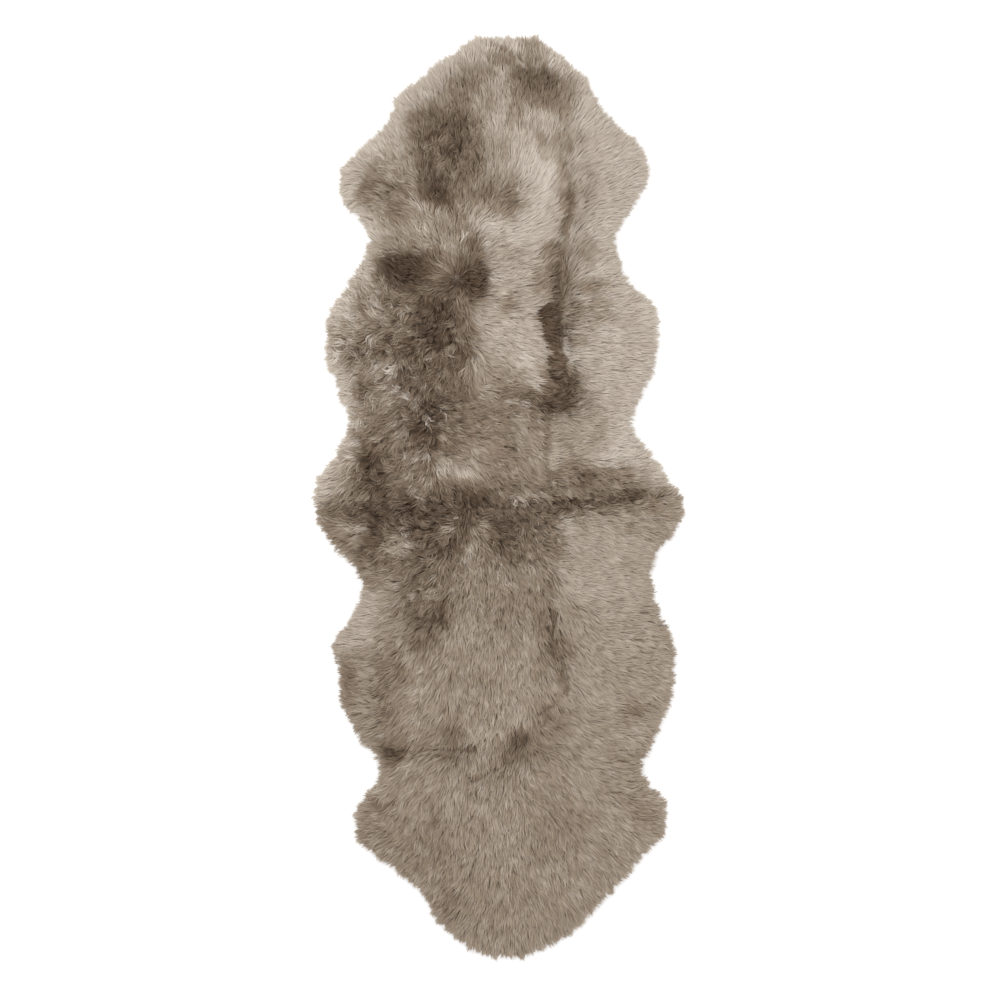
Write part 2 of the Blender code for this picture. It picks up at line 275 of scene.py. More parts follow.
# Where the wool is darker or paler, stands up or is tousled. Each row takes over from those before
# it: part of the pelt, head, across, half length, half width, turn, tone, how upright, how curly.
# A tone is 0 for the darkest wool and 1 for the palest. The tones were fitted to the brightness of
# the real rug at these places, so each is partly the wool's own colour and partly painted light:
# painted shade where the wool stands up, parts or is tousled, painted sheen where it lies flat.
HEAD_SHADES = (
    ("crown", 115, 2, 78, 88, 0, 0.75, 0.15, 0.15),
    # The gloss patches' high tones are painted sheen where the wool lies flat.
    ("gloss", 277, 74, 82, 37, -8, 0.93, -0.3, 0.05),
    ("gloss foot", 388, 55, 43, 31, 0, 0.86, -0.2, 0.05),
    ("neck lights", 172, 80, 20, 43, 0, 0.78, 0, 0.2),
    ("left brow", 96, -66, 39, 43, 0, 0.47, 0.3, 0.2),
    ("left brow core", 98, -64, 16, 18, 0, 0.36, 0.4, 0.2),
    ("temple", 228, -99, 98, 72, 0, 0.18, 0.5, 0.6),
    ("temple shoulder", 160, -147, 30, 38, 0, 0.32, 0.45, 0.3),
    ("temple eye", 224, -84, 20, 27, 25, 0.0, 0.7, 0.6),
    ("temple right", 248, -57, 35, 27, 0, 0.26, 0.4, 0.4),
    ("temple foot", 300, -121, 25, 31, -15, 0.06, 0.7, 0.4),
    ("temple wisp", 197, -105, 8, 16, 30, 0.38, 0.2, 0.5),
    ("temple wisp", 257, -109, 12, 20, 20, 0.38, 0.2, 0.5),
    ("temple wisp", 232, -51, 25, 10, 35, 0.36, 0.2, 0.3),
    ("neck", 312, 6, 47, 45, 0, 0.46, 0.4, 0.25),
    ("neck core", 306, -23, 12, 12, 0, 0.34, 0.5, 0.3),
    ("neck left", 316, -57, 16, 39, 0, 0.42, 0.4, 0.3),
    ("neck tuft", 144, 33, 16, 12, 0, 0.46, 0.3, 0.2),
    ("throat shade", 222, -2, 27, 23, 0, 0.58, 0.1, 0.2),
    ("crown shade", 98, 76, 41, 58, -12, 0.36, 0.5, 0.25),
    ("crown shade core", 84, 80, 20, 45, -8, 0.26, 0.6, 0.25),
    ("crown shade low", 131, 103, 18, 27, -10, 0.34, 0.4, 0.2),
    ("crown shade side", 121, 135, 43, 20, 0, 0.5, 0.3, 0.15),
    ("crown cap", 20, 66, 16, 27, -10, 0.44, 0.15, 0.2),
    ("crown tuft", 45, 0, 16, 18, 0, 0.47, 0.4, 0.3),
    ("crown tuft", 74, -20, 16, 18, 0, 0.5, 0.3, 0.3),
    ("furrow brow", 203, 129, 20, 35, 0, 0.6, 0.1, 0.1),
    ("right foreleg shade", 291, 174, 47, 27, 0, 0.7, 0, 0.05),
    ("foreleg", 300, -216, 70, 43, 0, 0.46, 0.2, 0.5),
    ("foreleg core", 332, -197, 39, 20, 0, 0.34, 0.35, 0.4),
    ("foreleg crease", 296, -252, 20, 18, 30, 0.34, 0.4, 0.1),
    ("breast", 363, -135, 43, 107, 0, 0.58, 0.1, 0.35),
    ("breast shade", 365, -103, 18, 43, 0, 0.55, 0.1, 0.35),
    ("breast light", 335, -144, 12, 20, 0, 0.7, -0.1, 0.2),
    ("breast light", 382, -158, 14, 20, 0, 0.7, -0.1, 0.3),
    ("breast shade", 355, -84, 27, 23, 0, 0.48, 0.2, 0.4),
    ("breast light", 370, -14, 20, 31, -20, 0.84, -0.1, 0.2),
    ("back shade", 425, 18, 20, 39, -10, 0.62, 0.1, 0.1),
    ("shoulder", 460, -181, 58, 66, 0, 0.1, 0.6, 0.3),
    ("shoulder core", 464, -189, 35, 47, 0, 0, 0.75, 0.2),
    ("ribs", 538, 20, 129, 60, 0, 0.74, 0, 0.2),
    ("whorl", 482, -72, 60, 53, 0, 0.02, 0.45, 0.4),
    ("whorl core", 474, -45, 41, 27, 0, 0, 0.6, 0.4),
    ("whorl light", 406, -82, 14, 23, 0, 0.66, 0, 0.4),
    ("crown lip", 41, 45, 14, 58, -17, 1.0, -0.3, 0.2),
    ("whorl fan", 417, -78, 37, 21, 0, 0.66, 0, 0.4),
    ("whorl fan", 423, -115, 31, 14, 25, 0.66, 0, 0.4),
    ("whorl fan", 466, -127, 8, 23, -4, 0.56, 0, 0.4),
    ("whorl fan", 497, -136, 8, 23, 6, 0.45, 0, 0.4),
    ("whorl gap", 441, -98, 20, 5, 12, 0.2, 0.2, 0.4),
    ("whorl gap", 439, -62, 20, 5, -12, 0.25, 0.2, 0.4),
    ("whorl gap", 447, -123, 6, 14, -25, 0.2, 0.2, 0.4),
    ("whorl gap", 482, -115, 5, 20, 0, 0.15, 0.2, 0.4),
    ("whorl eye", 482, -80, 12, 20, 0, 0, 0.6, 0.3),
    ("shoulder brow", 413, -197, 12, 39, -5, 0.55, 0.1, 0.4),
    ("flank top", 538, -248, 62, 66, 0, 0.42, 0.2, 0.75),
    ("flank edge", 538, -300, 39, 20, 0, 0.8, 0, 0.3),
    ("belly core", 573, -129, 64, 62, 0, 0.03, 0.6, 0.65),
    ("belly dark", 569, -115, 47, 35, 0, 0, 0.7, 0.6),
    ("belly upper dark", 579, -113, 20, 27, 0, 0.04, 0.6, 0.5),
    ("belly left", 573, -209, 66, 35, 0, 0.29, 0.35, 0.8),
    ("flank fold", 612, -259, 35, 53, 0, 0.3, 0.35, 0.85),
    ("flank fold core", 616, -291, 23, 18, -25, 0.16, 0.5, 0.8),
    ("flank fold core", 616, -230, 12, 16, 0, 0.18, 0.5, 0.8),
    ("belly", 700, -135, 140, 90, 0, 0.17, 0.3, 0.85),
    ("belly edge", 661, -64, 98, 23, 0, 0.14, 0.3, 0.6),
    ("belly left dark", 655, -177, 58, 23, 0, 0.2, 0.5, 0.8),
    ("belly curl", 659, -218, 27, 14, -15, 0.62, -0.1, 0.9),
    ("belly curl", 708, -232, 14, 16, 0, 0.62, -0.1, 0.9),
    ("belly curl", 712, -177, 8, 18, 0, 0.5, 0, 0.9),
    ("belly left shade", 700, -265, 43, 25, 0, 0.34, 0.3, 0.8),
    ("belly low core", 764, -138, 55, 39, 0, 0.12, 0.6, 0.85),
    ("belly low eye", 760, -138, 12, 10, 0, 0.5, 0, 0.9),
    ("belly low core", 714, -80, 43, 18, 0, 0.2, 0.5, 0.6),
    ("hip", 831, -244, 90, 55, 0, 0.14, 0.5, 0.7),
    ("hip core", 838, -255, 31, 18, 0, 0.05, 0.6, 0.6),
    ("hip curl", 762, -207, 12, 14, 0, 0.5, 0, 0.8),
    ("hip curl", 803, -203, 16, 14, 0, 0.46, 0, 0.8),
    ("hip edge", 831, -298, 58, 18, -10, 0.55, 0.1, 0.5),
    ("tousled edge", 593, -308, 27, 23, 0, 0.5, 0.1, 0.9),
    ("tousled middle", 788, -216, 27, 51, 0, 0.4, 0.1, 0.6),
    ("tousled tuft", 651, -218, 21, 18, -10, 0.62, -0.1, 0.9),
    ("tousled tuft", 698, -244, 12, 14, 0, 0.6, -0.1, 0.9),
    ("tousled tuft", 706, -197, 16, 21, 0, 0.56, -0.1, 0.9),
    ("tousled tuft", 749, -267, 14, 18, -10, 0.56, -0.1, 0.9),
    ("tousled dark", 780, -160, 20, 14, 0, 0.05, 0.5, 0.8),
    ("tousled tuft", 760, -136, 14, 8, 0, 0.95, -0.1, 0.9),
    ("tousled tuft", 848, -164, 16, 23, 0, 0.56, 0, 0.7),
    ("flank pale", 515, -318, 43, 16, -15, 0.8, -0.1, 0.6),
    ("flank pale", 603, -300, 23, 12, -20, 0.62, 0, 0.9),
    ("loin", 764, 18, 113, 109, 0, 0.39, 0.15, 0.35),
    ("loin streak", 796, 14, 55, 14, 0, 0.34, 0.3, 0.3),
    ("loin light", 776, 51, 49, 21, 0, 0.58, 0.05, 0.25),
    ("loin light", 801, -31, 23, 18, 0, 0.56, 0, 0.2),
    ("belly foot", 862, -144, 43, 58, 0, 0.42, 0.25, 0.5),
    ("belly pale", 848, -84, 18, 51, 10, 0.68, -0.2, 0.2),
    ("right waist light", 798, 226, 58, 51, 0, 0.88, 0, 0.1),
    ("loin right", 764, 174, 70, 43, 0, 0.63, 0, 0.1),
    ("loin right low", 807, 119, 39, 58, 0, 0.6, 0, 0.15),
    ("loin pale", 811, 119, 25, 33, 0, 0.68, -0.1, 0.15),
    ("neck streak", 296, -10, 25, 12, 0, 0.34, 0.3, 0.3),
    ("neck streak", 316, 27, 39, 12, -4, 0.38, 0.25, 0.3),
    ("throat streak", 150, 35, 20, 10, 0, 0.5, 0.2, 0.3),
    ("throat streak", 183, 58, 20, 6, 0, 0.62, 0.1, 0.3),
    ("throat streak", 203, 82, 18, 12, 20, 0.55, 0.15, 0.3),
    ("throat streak", 216, 103, 16, 12, -25, 0.58, 0.1, 0.3),
    ("furrow soft", 254, 123, 43, 14, 6, 0.56, 0.1, 0.2),
    ("furrow soft", 335, 135, 51, 18, -4, 0.46, 0.15, 0.2),
    ("furrow tuft", 417, 101, 23, 14, -20, 0.38, 0.25, 0.3),
    ("furrow soft", 468, 115, 47, 23, -8, 0.38, 0.2, 0.25),
    ("furrow side", 421, 174, 21, 18, 0, 0.6, 0, 0.1),
    ("furrow spot", 484, 203, 12, 16, 20, 0.52, 0.15, 0.2),
    ("right of furrow", 538, 170, 35, 43, 0, 0.56, 0.1, 0.3),
    ("right of furrow light", 614, 152, 21, 21, 0, 0.92, -0.1, 0.2),
    ("furrow arc", 503, 158, 8, 21, 10, 0.9, -0.1, 0.3),
    ("furrow blob", 688, 121, 54, 43, 0, 0.1, 0.35, 0.35),
    ("furrow blob low", 718, 105, 23, 37, 0, 0.1, 0.4, 0.5),
    ("furrow blob foot", 731, 115, 10, 29, 6, 0.05, 0.4, 0.4),
    ("furrow blob left", 700, 37, 14, 33, -8, 0.26, 0.25, 0.3),
    ("loin tuft", 718, 29, 10, 12, 0, 0.9, 0, 0.4),
    ("loin tuft", 720, 57, 8, 10, 0, 0.8, 0, 0.4),
    ("hip right", 862, 181, 31, 113, -6, 0.42, 0.25, 0.3),
    ("hip right core", 862, 164, 14, 21, 0, 0.2, 0.5, 0.4),
    ("hip right light", 874, 119, 12, 18, 0, 0.5, 0, 0.3),
    ("seam approach", 889, -64, 21, 113, 0, 0.32, 0.3, 0.5),
    ("seam approach", 885, 80, 21, 66, 0, 0.36, 0.3, 0.5),
    ("seam band right", 903, 201, 27, 125, 2, 0.42, 0.4, 0.5),
    ("seam band right core", 916, 144, 16, 51, 8, 0.14, 0.6, 0.5),
    ("seam band right core", 899, 259, 14, 39, 4, 0.22, 0.5, 0.5),
    ("seam band far right", 916, 318, 27, 31, 0, 0.5, 0.2, 0.3),
    ("seam band left", 920, -135, 35, 191, 0, 0.14, 0.5, 0.6),
    ("seam band core", 920, -193, 20, 78, -5, 0.04, 0.6, 0.6),
    ("seam band core", 909, -72, 23, 70, 5, 0.04, 0.6, 0.6),
    ("seam band far left", 920, -318, 27, 35, 0, 0.34, 0.3, 0.4),
    ("seam band middle", 913, 41, 27, 58, 0, 0.3, 0.4, 0.6),
    ("seam curl", 901, 72, 12, 18, 0, 0.62, 0, 0.6),
    ("furrow soft right", 468, 136, 51, 18, 0, 0.42, 0.15, 0.2),
    ("furrow soft left", 480, 82, 35, 16, 0, 0.46, 0.1, 0.2),
    ("furrow foot left", 575, 133, 18, 16, 0, 0.34, 0.3, 0.3),
    ("furrow fleck", 488, 177, 12, 23, 15, 0.5, 0.1, 0.2),
    ("furrow blob edge", 675, 72, 18, 20, 0, 0.85, -0.1, 0.1),
    ("ribs fleck", 525, 18, 25, 16, 0, 0.5, 0.1, 0.2),
    ("back of whorl", 411, -43, 27, 14, 25, 0.22, 0.3, 0.4),
    ("back of whorl", 425, -125, 20, 14, 0, 0.24, 0.3, 0.4),
    ("shoulder core", 452, -152, 23, 16, 0, 0.0, 0.6, 0.3),
    ("breast shade", 347, -199, 16, 21, 0, 0.3, 0.2, 0.3),
    ("breast light", 408, -220, 12, 21, 0, 0.66, 0, 0.3),
    ("shoulder light", 445, -255, 27, 10, 0, 0.86, -0.1, 0.2),
    ("belly column", 581, -123, 33, 35, 0, 0.0, 0.6, 0.6),
    ("belly column", 523, -146, 16, 20, 0, 0.05, 0.5, 0.5),
    ("belly column light", 528, -80, 20, 12, 0, 0.38, 0.2, 0.4),
    ("flank tuft", 556, -240, 25, 25, 0, 0.62, 0.1, 0.8),
    ("flank fold core", 686, -248, 16, 20, 0, 0.2, 0.4, 0.8),
    ("temple low", 316, -119, 16, 25, 0, 0.02, 0.5, 0.4),
    ("temple low", 289, -146, 20, 16, 0, 0.1, 0.5, 0.4),
    ("foreleg crease", 314, -269, 18, 12, -30, 0.34, 0.3, 0.2),
    ("belly side light", 657, -43, 18, 16, 0, 0.66, 0, 0.3),
    ("loin light", 696, -18, 16, 16, 0, 0.64, 0, 0.3),
    ("loin streak", 805, 131, 12, 25, 0, 0.54, 0.1, 0.2),
    ("loin foot light", 837, 101, 16, 20, 0, 0.72, -0.1, 0.2),
    ("seam approach dark", 868, -10, 16, 23, 0, 0.26, 0.3, 0.5),
    ("hip pale curl", 893, -164, 12, 27, 0, 0.4, 0.1, 0.5),
    ("seam side", 848, -300, 20, 16, 0, 0.45, 0.1, 0.5),
    ("seam middle light", 897, 60, 12, 21, 0, 0.72, 0, 0.5),
    ("crown lip light", 37, 49, 10, 23, -12, 0.85, -0.2, 0.2),
    ("crown lip light", 20, 23, 8, 16, 0, 0.95, -0.2, 0.2),
    ("crown line", 51, 16, 10, 16, -12, 0.36, 0.3, 0.3),
    ("crown left light", 70, -88, 14, 16, 0, 0.84, 0, 0.2),
    ("neck tuft", 127, -16, 16, 14, 0, 0.52, 0.2, 0.3),
    ("neck tuft", 172, 18, 16, 14, 0, 0.52, 0.1, 0.2),
    ("temple light", 133, -166, 14, 14, 0, 0.78, 0, 0.2),
    ("neck tuft light", 281, 6, 16, 16, 0, 0.62, 0.1, 0.2),
    ("gloss shade", 232, 94, 16, 14, 0, 0.64, 0, 0.1),
    ("right foreleg light", 285, 162, 27, 14, 0, 0.8, 0, 0.05),
    ("foreleg light", 306, -291, 14, 12, 0, 0.95, -0.1, 0.2),
    ("shoulder light", 417, -238, 10, 16, 0, 0.84, -0.1, 0.2),
    ("shoulder light", 468, -265, 16, 10, 0, 0.92, -0.1, 0.2),
    ("whorl fan", 400, -156, 12, 16, 0, 0.66, 0, 0.4),
    ("whorl core", 439, -74, 16, 10, 0, 0.1, 0.4, 0.4),
    ("whorl side", 476, -10, 31, 8, 0, 0.82, 0, 0.2),
    ("belly column", 599, -107, 18, 18, 0, 0.0, 0.6, 0.6),
    ("belly side dark", 579, -45, 20, 12, 0, 0.36, 0.2, 0.3),
    ("belly left light", 583, -195, 16, 35, 0, 0.42, 0.2, 0.8),
    ("belly side light", 667, -103, 16, 16, 0, 0.42, 0.2, 0.6),
    ("belly low tuft", 766, -142, 12, 16, 0, 0.32, 0.2, 0.8),
    ("belly low dark", 801, -170, 12, 16, 0, 0.12, 0.4, 0.8),
    ("belly low dark", 819, -127, 14, 14, 0, 0.16, 0.4, 0.7),
    ("ribs light", 636, 49, 16, 18, 0, 0.95, -0.1, 0.1),
    ("furrow foot side", 595, 164, 12, 16, 0, 0.6, 0.1, 0.1),
    ("furrow core", 564, 107, 43, 16, 0, 0.0, 0.4, 0.3),
    ("furrow barb foot", 731, 62, 10, 20, 0, 0.34, 0.2, 0.3),
)
TAIL_SHADES = (
    ("shoulder right", 1051, 220, 121, 101, 0, 0.69, -0.25, 0.05),
    ("shoulder right low", 1256, 197, 136, 136, 0, 0.62, -0.05, 0.12),
    ("rump", 1695, -18, 74, 107, 0, 0.52, 0.05, 0.15),
    ("rump left", 1587, -135, 62, 74, 0, 0.5, 0.1, 0.2),
    ("rump right", 1533, 109, 70, 62, 0, 0.5, 0.1, 0.15),
    ("back", 1080, 2, 98, 98, 0, 0.52, 0.15, 0.3),
    ("seam shade", 977, -144, 62, 185, 0, 0.22, 0.45, 0.6),
    ("seam shade right", 963, 96, 51, 43, 0, 0.32, 0.35, 0.5),
    ("seam shade core", 967, -236, 55, 25, 0, 0.05, 0.6, 0.5),
    ("seam shade core", 975, -135, 31, 55, 0, 0.14, 0.5, 0.6),
    ("seam curl", 994, -205, 18, 27, -20, 0.47, 0, 0.5),
    ("seam far left", 965, -298, 18, 31, 0, 0.47, 0.1, 0.3),
    ("spine core", 979, 12, 35, 43, 0, 0.18, 0.5, 0.6),
    ("spine core low", 1014, 51, 23, 27, 0, 0.33, 0.4, 0.5),
    ("fountain arc", 963, -92, 10, 23, 35, 0.56, -0.1, 0.4),
    ("fountain arc", 963, -29, 10, 25, -30, 0.54, -0.1, 0.4),
    ("fountain", 998, -53, 31, 20, 0, 0.56, -0.1, 0.5),
    ("seam foot right", 920, 138, 18, 62, 4, 0.3, 0.3, 0.5),
    ("seam foot far right", 920, 267, 16, 70, -6, 0.5, 0.1, 0.3),
    ("seam spot right", 959, 246, 20, 27, 0, 0.58, 0.1, 0.2),
    ("shoulder left", 1076, -154, 58, 86, 0, 0.38, 0.3, 0.5),
    ("shoulder left core", 1067, -150, 16, 16, -30, 0.2, 0.5, 0.4),
    ("shoulder left low", 1143, -135, 35, 39, 30, 0.2, 0.5, 0.3),
    ("shoulder left spot", 1139, -121, 18, 12, 0, 0.03, 0.6, 0.2),
    ("shoulder left spot", 1180, -166, 12, 14, 0, 0.24, 0.5, 0.2),
    ("waist left", 1088, -216, 27, 29, 0, 0.6, 0, 0.2),
    ("waist left edge", 1119, -255, 51, 27, 0, 0.74, -0.2, 0.1),
    ("lobe left edge", 1178, -291, 20, 31, 0, 0.8, -0.2, 0.1),
    ("streak", 1131, 88, 66, 14, 0, 0.42, 0.25, 0.3),
    ("streak low", 1209, 123, 20, 22, 0, 0.42, 0.3, 0.3),
    ("streak foot", 1248, 123, 16, 12, 12, 0.34, 0.3, 0.3),
    ("streak tail", 1275, 129, 12, 10, 0, 0.45, 0.2, 0.2),
    ("streak side", 1119, 146, 20, 18, 0, 0.52, 0.1, 0.15),
    ("right spot", 1035, 252, 16, 18, 0, 0.6, 0, 0.1),
    ("lobe left", 1256, -289, 55, 21, 0, 0.46, 0.2, 0.2),
    ("lobe left core", 1250, -292, 16, 12, 0, 0.3, 0.4, 0.2),
    ("flank left", 1275, -216, 86, 35, 0, 0.47, 0.15, 0.25),
    ("flank left spot", 1219, -220, 10, 20, 25, 0.33, 0.3, 0.3),
    ("flank left spot", 1240, -189, 16, 12, 0, 0.35, 0.3, 0.3),
    ("flank left spot", 1266, -230, 18, 16, 0, 0.33, 0.3, 0.3),
    ("flank left spot", 1324, -228, 27, 14, 0, 0.33, 0.3, 0.3),
    ("back shade", 1240, -57, 27, 58, -15, 0.53, 0.1, 0.2),
    ("loin shade", 1363, 99, 78, 35, 0, 0.5, 0.1, 0.2),
    ("crease left", 1392, -207, 35, 29, 0, 0.37, 0.3, 0.2),
    ("crease left core", 1396, -203, 20, 20, 0, 0.14, 0.6, 0.2),
    ("crease middle", 1392, -144, 14, 47, 0, 0.5, 0.1, 0.1),
    ("crease tuft", 1369, -88, 39, 21, 0, 0.34, 0.35, 0.2),
    ("crease tuft foot", 1416, -92, 23, 20, 0, 0.47, 0.2, 0.2),
    ("slant", 1381, 43, 33, 45, 0, 0.42, 0.3, 0.2),
    ("slant tuft", 1371, 39, 16, 21, -15, 0.1, 0.6, 0.25),
    ("slant foot", 1410, 14, 12, 16, 35, 0.32, 0.3, 0.2),
    ("slant tail", 1425, -27, 10, 27, 30, 0.48, 0.1, 0.1),
    ("flank spot", 1314, 261, 27, 25, 0, 0.47, 0.15, 0.15),
    ("flank spot core", 1318, 263, 12, 10, 40, 0.28, 0.4, 0.15),
    ("flank fleck", 1326, 142, 8, 18, 30, 0.47, 0.1, 0.1),
    ("flank fleck", 1338, 96, 8, 8, 0, 0.34, 0.3, 0.1),
    ("haunch left", 1513, -230, 31, 35, 0, 0.5, 0.1, 0.2),
    ("haunch left fleck", 1503, -230, 10, 18, 0, 0.22, 0.3, 0.2),
    ("haunch left foot", 1564, -252, 27, 27, 0, 0.52, 0.1, 0.2),
    ("haunch fleck", 1525, -119, 10, 14, 40, 0.22, 0.3, 0.2),
    ("haunch fleck", 1486, -133, 8, 10, 40, 0.3, 0.3, 0.1),
    ("haunch fleck", 1505, -168, 12, 23, 20, 0.5, 0.1, 0.1),
    ("tail spot", 1691, -98, 25, 14, 25, 0.36, 0.2, 0.1),
    ("tail spot", 1695, 109, 23, 18, 0, 0.5, 0.1, 0.1),
    ("haunch right", 1519, 279, 25, 23, 0, 0.49, 0.1, 0.1),
    ("haunch right fleck", 1476, 201, 16, 16, 0, 0.5, 0.1, 0.1),
    ("haunch right fleck", 1488, 242, 10, 23, -15, 0.5, 0.1, 0.1),
    ("left pale", 996, -197, 20, 27, 0, 0.58, 0, 0.5),
    ("left pale", 967, -281, 14, 20, 0, 0.6, 0, 0.4),
    ("left dark", 979, -248, 12, 16, 0, 0.15, 0.4, 0.5),
    ("left middle", 1024, -259, 33, 29, 0, 0.42, 0.2, 0.3),
    ("left rim", 1150, -281, 49, 29, 0, 0.76, 0, 0.2),
    ("left edge", 1244, -298, 18, 12, 0, 0.35, 0.2, 0.3),
    ("left spot", 1127, -117, 14, 14, 0, 0.1, 0.5, 0.3),
    ("left spot", 1158, -131, 16, 18, 0, 0.3, 0.3, 0.3),
    ("left spot", 1190, -162, 12, 12, 0, 0.25, 0.3, 0.3),
    ("left arc", 1244, -189, 10, 16, 0, 0.35, 0.3, 0.3),
    ("spine band", 973, 111, 47, 18, 0, 0.3, 0.3, 0.4),
    ("spine curl", 979, 92, 10, 8, 0, 0.8, 0, 0.6),
    ("streak blob", 1190, 135, 21, 18, 0, 0.4, 0.2, 0.3),
    ("fountain fall", 1010, -60, 25, 14, 0, 0.72, -0.1, 0.5),
    ("fountain top light", 996, -29, 16, 16, 0, 0.56, 0, 0.5),
    ("shoulder right light", 975, 136, 31, 16, 0, 0.76, -0.1, 0.1),
    ("seam band right foot", 926, 199, 12, 25, 0, 0.28, 0.3, 0.4),
    ("seam band right foot", 930, 127, 12, 23, 0, 0.2, 0.4, 0.5),
    ("seam shade left", 1008, -257, 14, 20, 0, 0.18, 0.4, 0.5),
    ("seam shade light", 985, 57, 16, 16, 0, 0.42, 0.2, 0.5),
    ("fountain gap", 983, -62, 14, 8, 0, 0.2, 0.3, 0.4),
    ("shoulder left light", 1117, -138, 14, 16, 0, 0.38, 0.2, 0.5),
    ("streak foot", 1232, 80, 20, 16, 0, 0.42, 0.2, 0.2),
)

# Where the wool parts along a line: name, head and across of each end, half width, change of tone,
# how upright, how deep the groove is. The change of tone darkens the wool along the line, partly for
# the darker roots that show there and partly as painted shade in the groove; behind a furrow crease
# it is a painted shadow.
PARTINGS = (
    ("brow line", 27, -14, 47, 29, 6, -0.6, 0.3, 3),
    ("brow line", 47, 29, 62, 90, 6, -0.6, 0.3, 3),
    ("furrow top", 199, 121, 250, 131, 14, -0.1, 0.1, 3),
    ("furrow top", 250, 131, 308, 144, 14, -0.12, 0.1, 5),
    ("furrow shoulder", 308, 140, 357, 135, 14, -0.2, 0.15, 7),
    ("furrow shoulder", 357, 135, 417, 119, 16, -0.2, 0.15, 7),
    ("furrow ribs", 417, 119, 486, 109, 18, -0.25, 0.2, 8),
    ("furrow ribs", 486, 111, 534, 115, 16, -0.5, 0.3, 10),
    ("furrow deep", 534, 111, 616, 113, 14, -0.9, 0.5, 11),
    ("furrow loin", 616, 113, 663, 123, 18, -0.5, 0.35, 8),
    ("furrow loin", 663, 123, 702, 125, 23, -0.2, 0.3, 6),
    ("furrow crease", 515, 90, 528, 82, 18, -0.6, 0.2, 0),
    ("furrow crease", 528, 82, 546, 68, 18, -0.75, 0.3, 0),
    ("furrow crease", 546, 68, 554, 88, 18, -0.8, 0.3, 0),
    ("furrow crease", 554, 88, 571, 76, 18, -0.9, 0.3, 0),
    ("furrow crease", 571, 76, 599, 94, 18, -0.9, 0.3, 0),
    ("furrow crease", 599, 94, 618, 98, 18, -0.6, 0.2, 0),
    ("furrow crease", 618, 98, 638, 92, 20, -0.5, 0.2, 0),
    ("furrow crease", 638, 92, 671, 101, 20, -0.4, 0.2, 0),
    ("loin line", 741, 80, 788, 86, 8, -0.28, 0.2, 2),
    ("loin line", 788, 86, 823, 82, 8, -0.28, 0.2, 2),
    ("loin line", 823, 82, 862, 92, 8, -0.28, 0.2, 2),
    ("furrow edge", 722, 142, 739, 90, 8, -0.4, 0.3, 4),
    ("furrow barb", 716, 80, 702, 29, 7, -0.5, 0.3, 5),
    ("slit", 548, 72, 525, 92, 6, -0.6, 0.3, 5),
    ("seam", 930, -365, 925, -195, 18, -0.26, 0.4, 2),
    ("seam", 925, -195, 920, -35, 18, -0.3, 0.4, 2),
    ("seam", 920, -35, 915, 90, 18, -0.24, 0.4, 2),
    ("seam", 915, 90, 890, 335, 18, -0.2, 0.4, 2),
    ("seam line", 940, -250, 940, 55, 4, -0.55, 0.5, 3),
    ("streak line", 1037, 98, 1069, 98, 5, -0.45, 0.3, 4),
    ("streak line", 1112, 109, 1178, 99, 5, -0.75, 0.4, 6),
    ("streak line", 1178, 99, 1217, 105, 10, -0.35, 0.3, 5),
    ("streak line", 1217, 105, 1246, 125, 10, -0.25, 0.2, 3),
    ("streak line", 1246, 125, 1275, 129, 8, -0.3, 0.2, 3),
    ("loin stroke", 1312, 68, 1293, 103, 6, -0.3, 0.2, 3),
    ("left crease", 1392, -200, 1383, -50, 5, -0.6, 0.4, 4),
    ("slanting crease", 1445, -55, 1410, 20, 5, -0.4, 0.3, 3),
    ("slanting crease", 1410, 20, 1380, 40, 10, -0.24, 0.3, 3),
)

# The undisturbed wool of each pelt: how light, how far it leans over, how curly, and how light its
# rim is, over what width in metres and how surely. The paler rim is painted light, as from the bright
# floor round the rug.
RESTING_WOOL = {
    "pelt_head": {"tone": 0.80, "lean": 71.0, "curl": 0.10, "rim": (0.93, 0.034, 0.8)},
    "pelt_tail": {"tone": 0.57, "lean": 67.0, "curl": 0.22, "rim": (0.90, 0.016, 0.8)},
}
FLOWS = {"pelt_head": HEAD_FLOW, "pelt_tail": TAIL_FLOW}
SHADES = {"pelt_head": HEAD_SHADES, "pelt_tail": TAIL_SHADES}

# How the tables are laid on the pelts. An eased edge goes from nothing at its first number to full
# at its second, in radii of a patch or half widths of a line.
PATCH_EDGE = (1.45, 0.45)
LINE_EDGE = (1.25, 0.2)
NOISE_SEED = 1                # without one, noise_vector gives another result in each run
FLOW_REACH = 0.55             # of the distance that a heading holds, as a bell's width
PATCH_FRAY = ((0.045, 1, 0.007), (0.016, 3, 0.006))   # size, seed and reach of random offsets, in m
LINE_FRAY = ((0.02, 2, 0.003),)
LIE_SHIFT = 0.2               # of a lock's length, from its root to where its lie is read
TONE_SHIFT = 0.68             # of a lock's length, from its root to where its tone is read
TONE_SHIFT_UPRIGHT = 0.5      # taken from that where the wool stands up
OUTWARD_WIDTH = 0.026         # m, in from the outline, where the wool turns outwards
OUTWARD_PULL = 1.2
UPRIGHT_LEAN = 0.72           # share of its lean that upright wool loses
PRESSED_LEAN = 14             # degrees that pressed-down wool leans further
UPRIGHT_SHORTER = 0.42        # share of its length that upright wool loses
AGREED = (0.75, 0.2)          # where headings agree, and where they cancel and the wool goes astray
LUMP_SIZE, LUMP_HEIGHT = 0.03, 0.0015                 # m, the undercoat's unevenness
UNDERCOAT_FLOOR = 0.004       # m, that the undercoat keeps over the skin in a groove
STITCH_STRAY = (0.0004, 0.0006, 0.0)                  # m, that a stitch may be out of place
SKIN_TUCK = 0.9               # of the wool's overhang, that the skin's edge is drawn in

# The colour chart that every lock reads: one column for each tone, one row for each fibre pattern.
TONES, PATTERNS = 64, 4
LOCK_SHARE = 0.38             # of a column, from a lock's middle to its edge
ROW_MARGIN = 0.03             # of a row, left free at both of its ends
LOCK_STEPS = 3                # lengths of ribbon that a lock bends in
LOWEST_WOOL = 0.0008          # m, over the floor


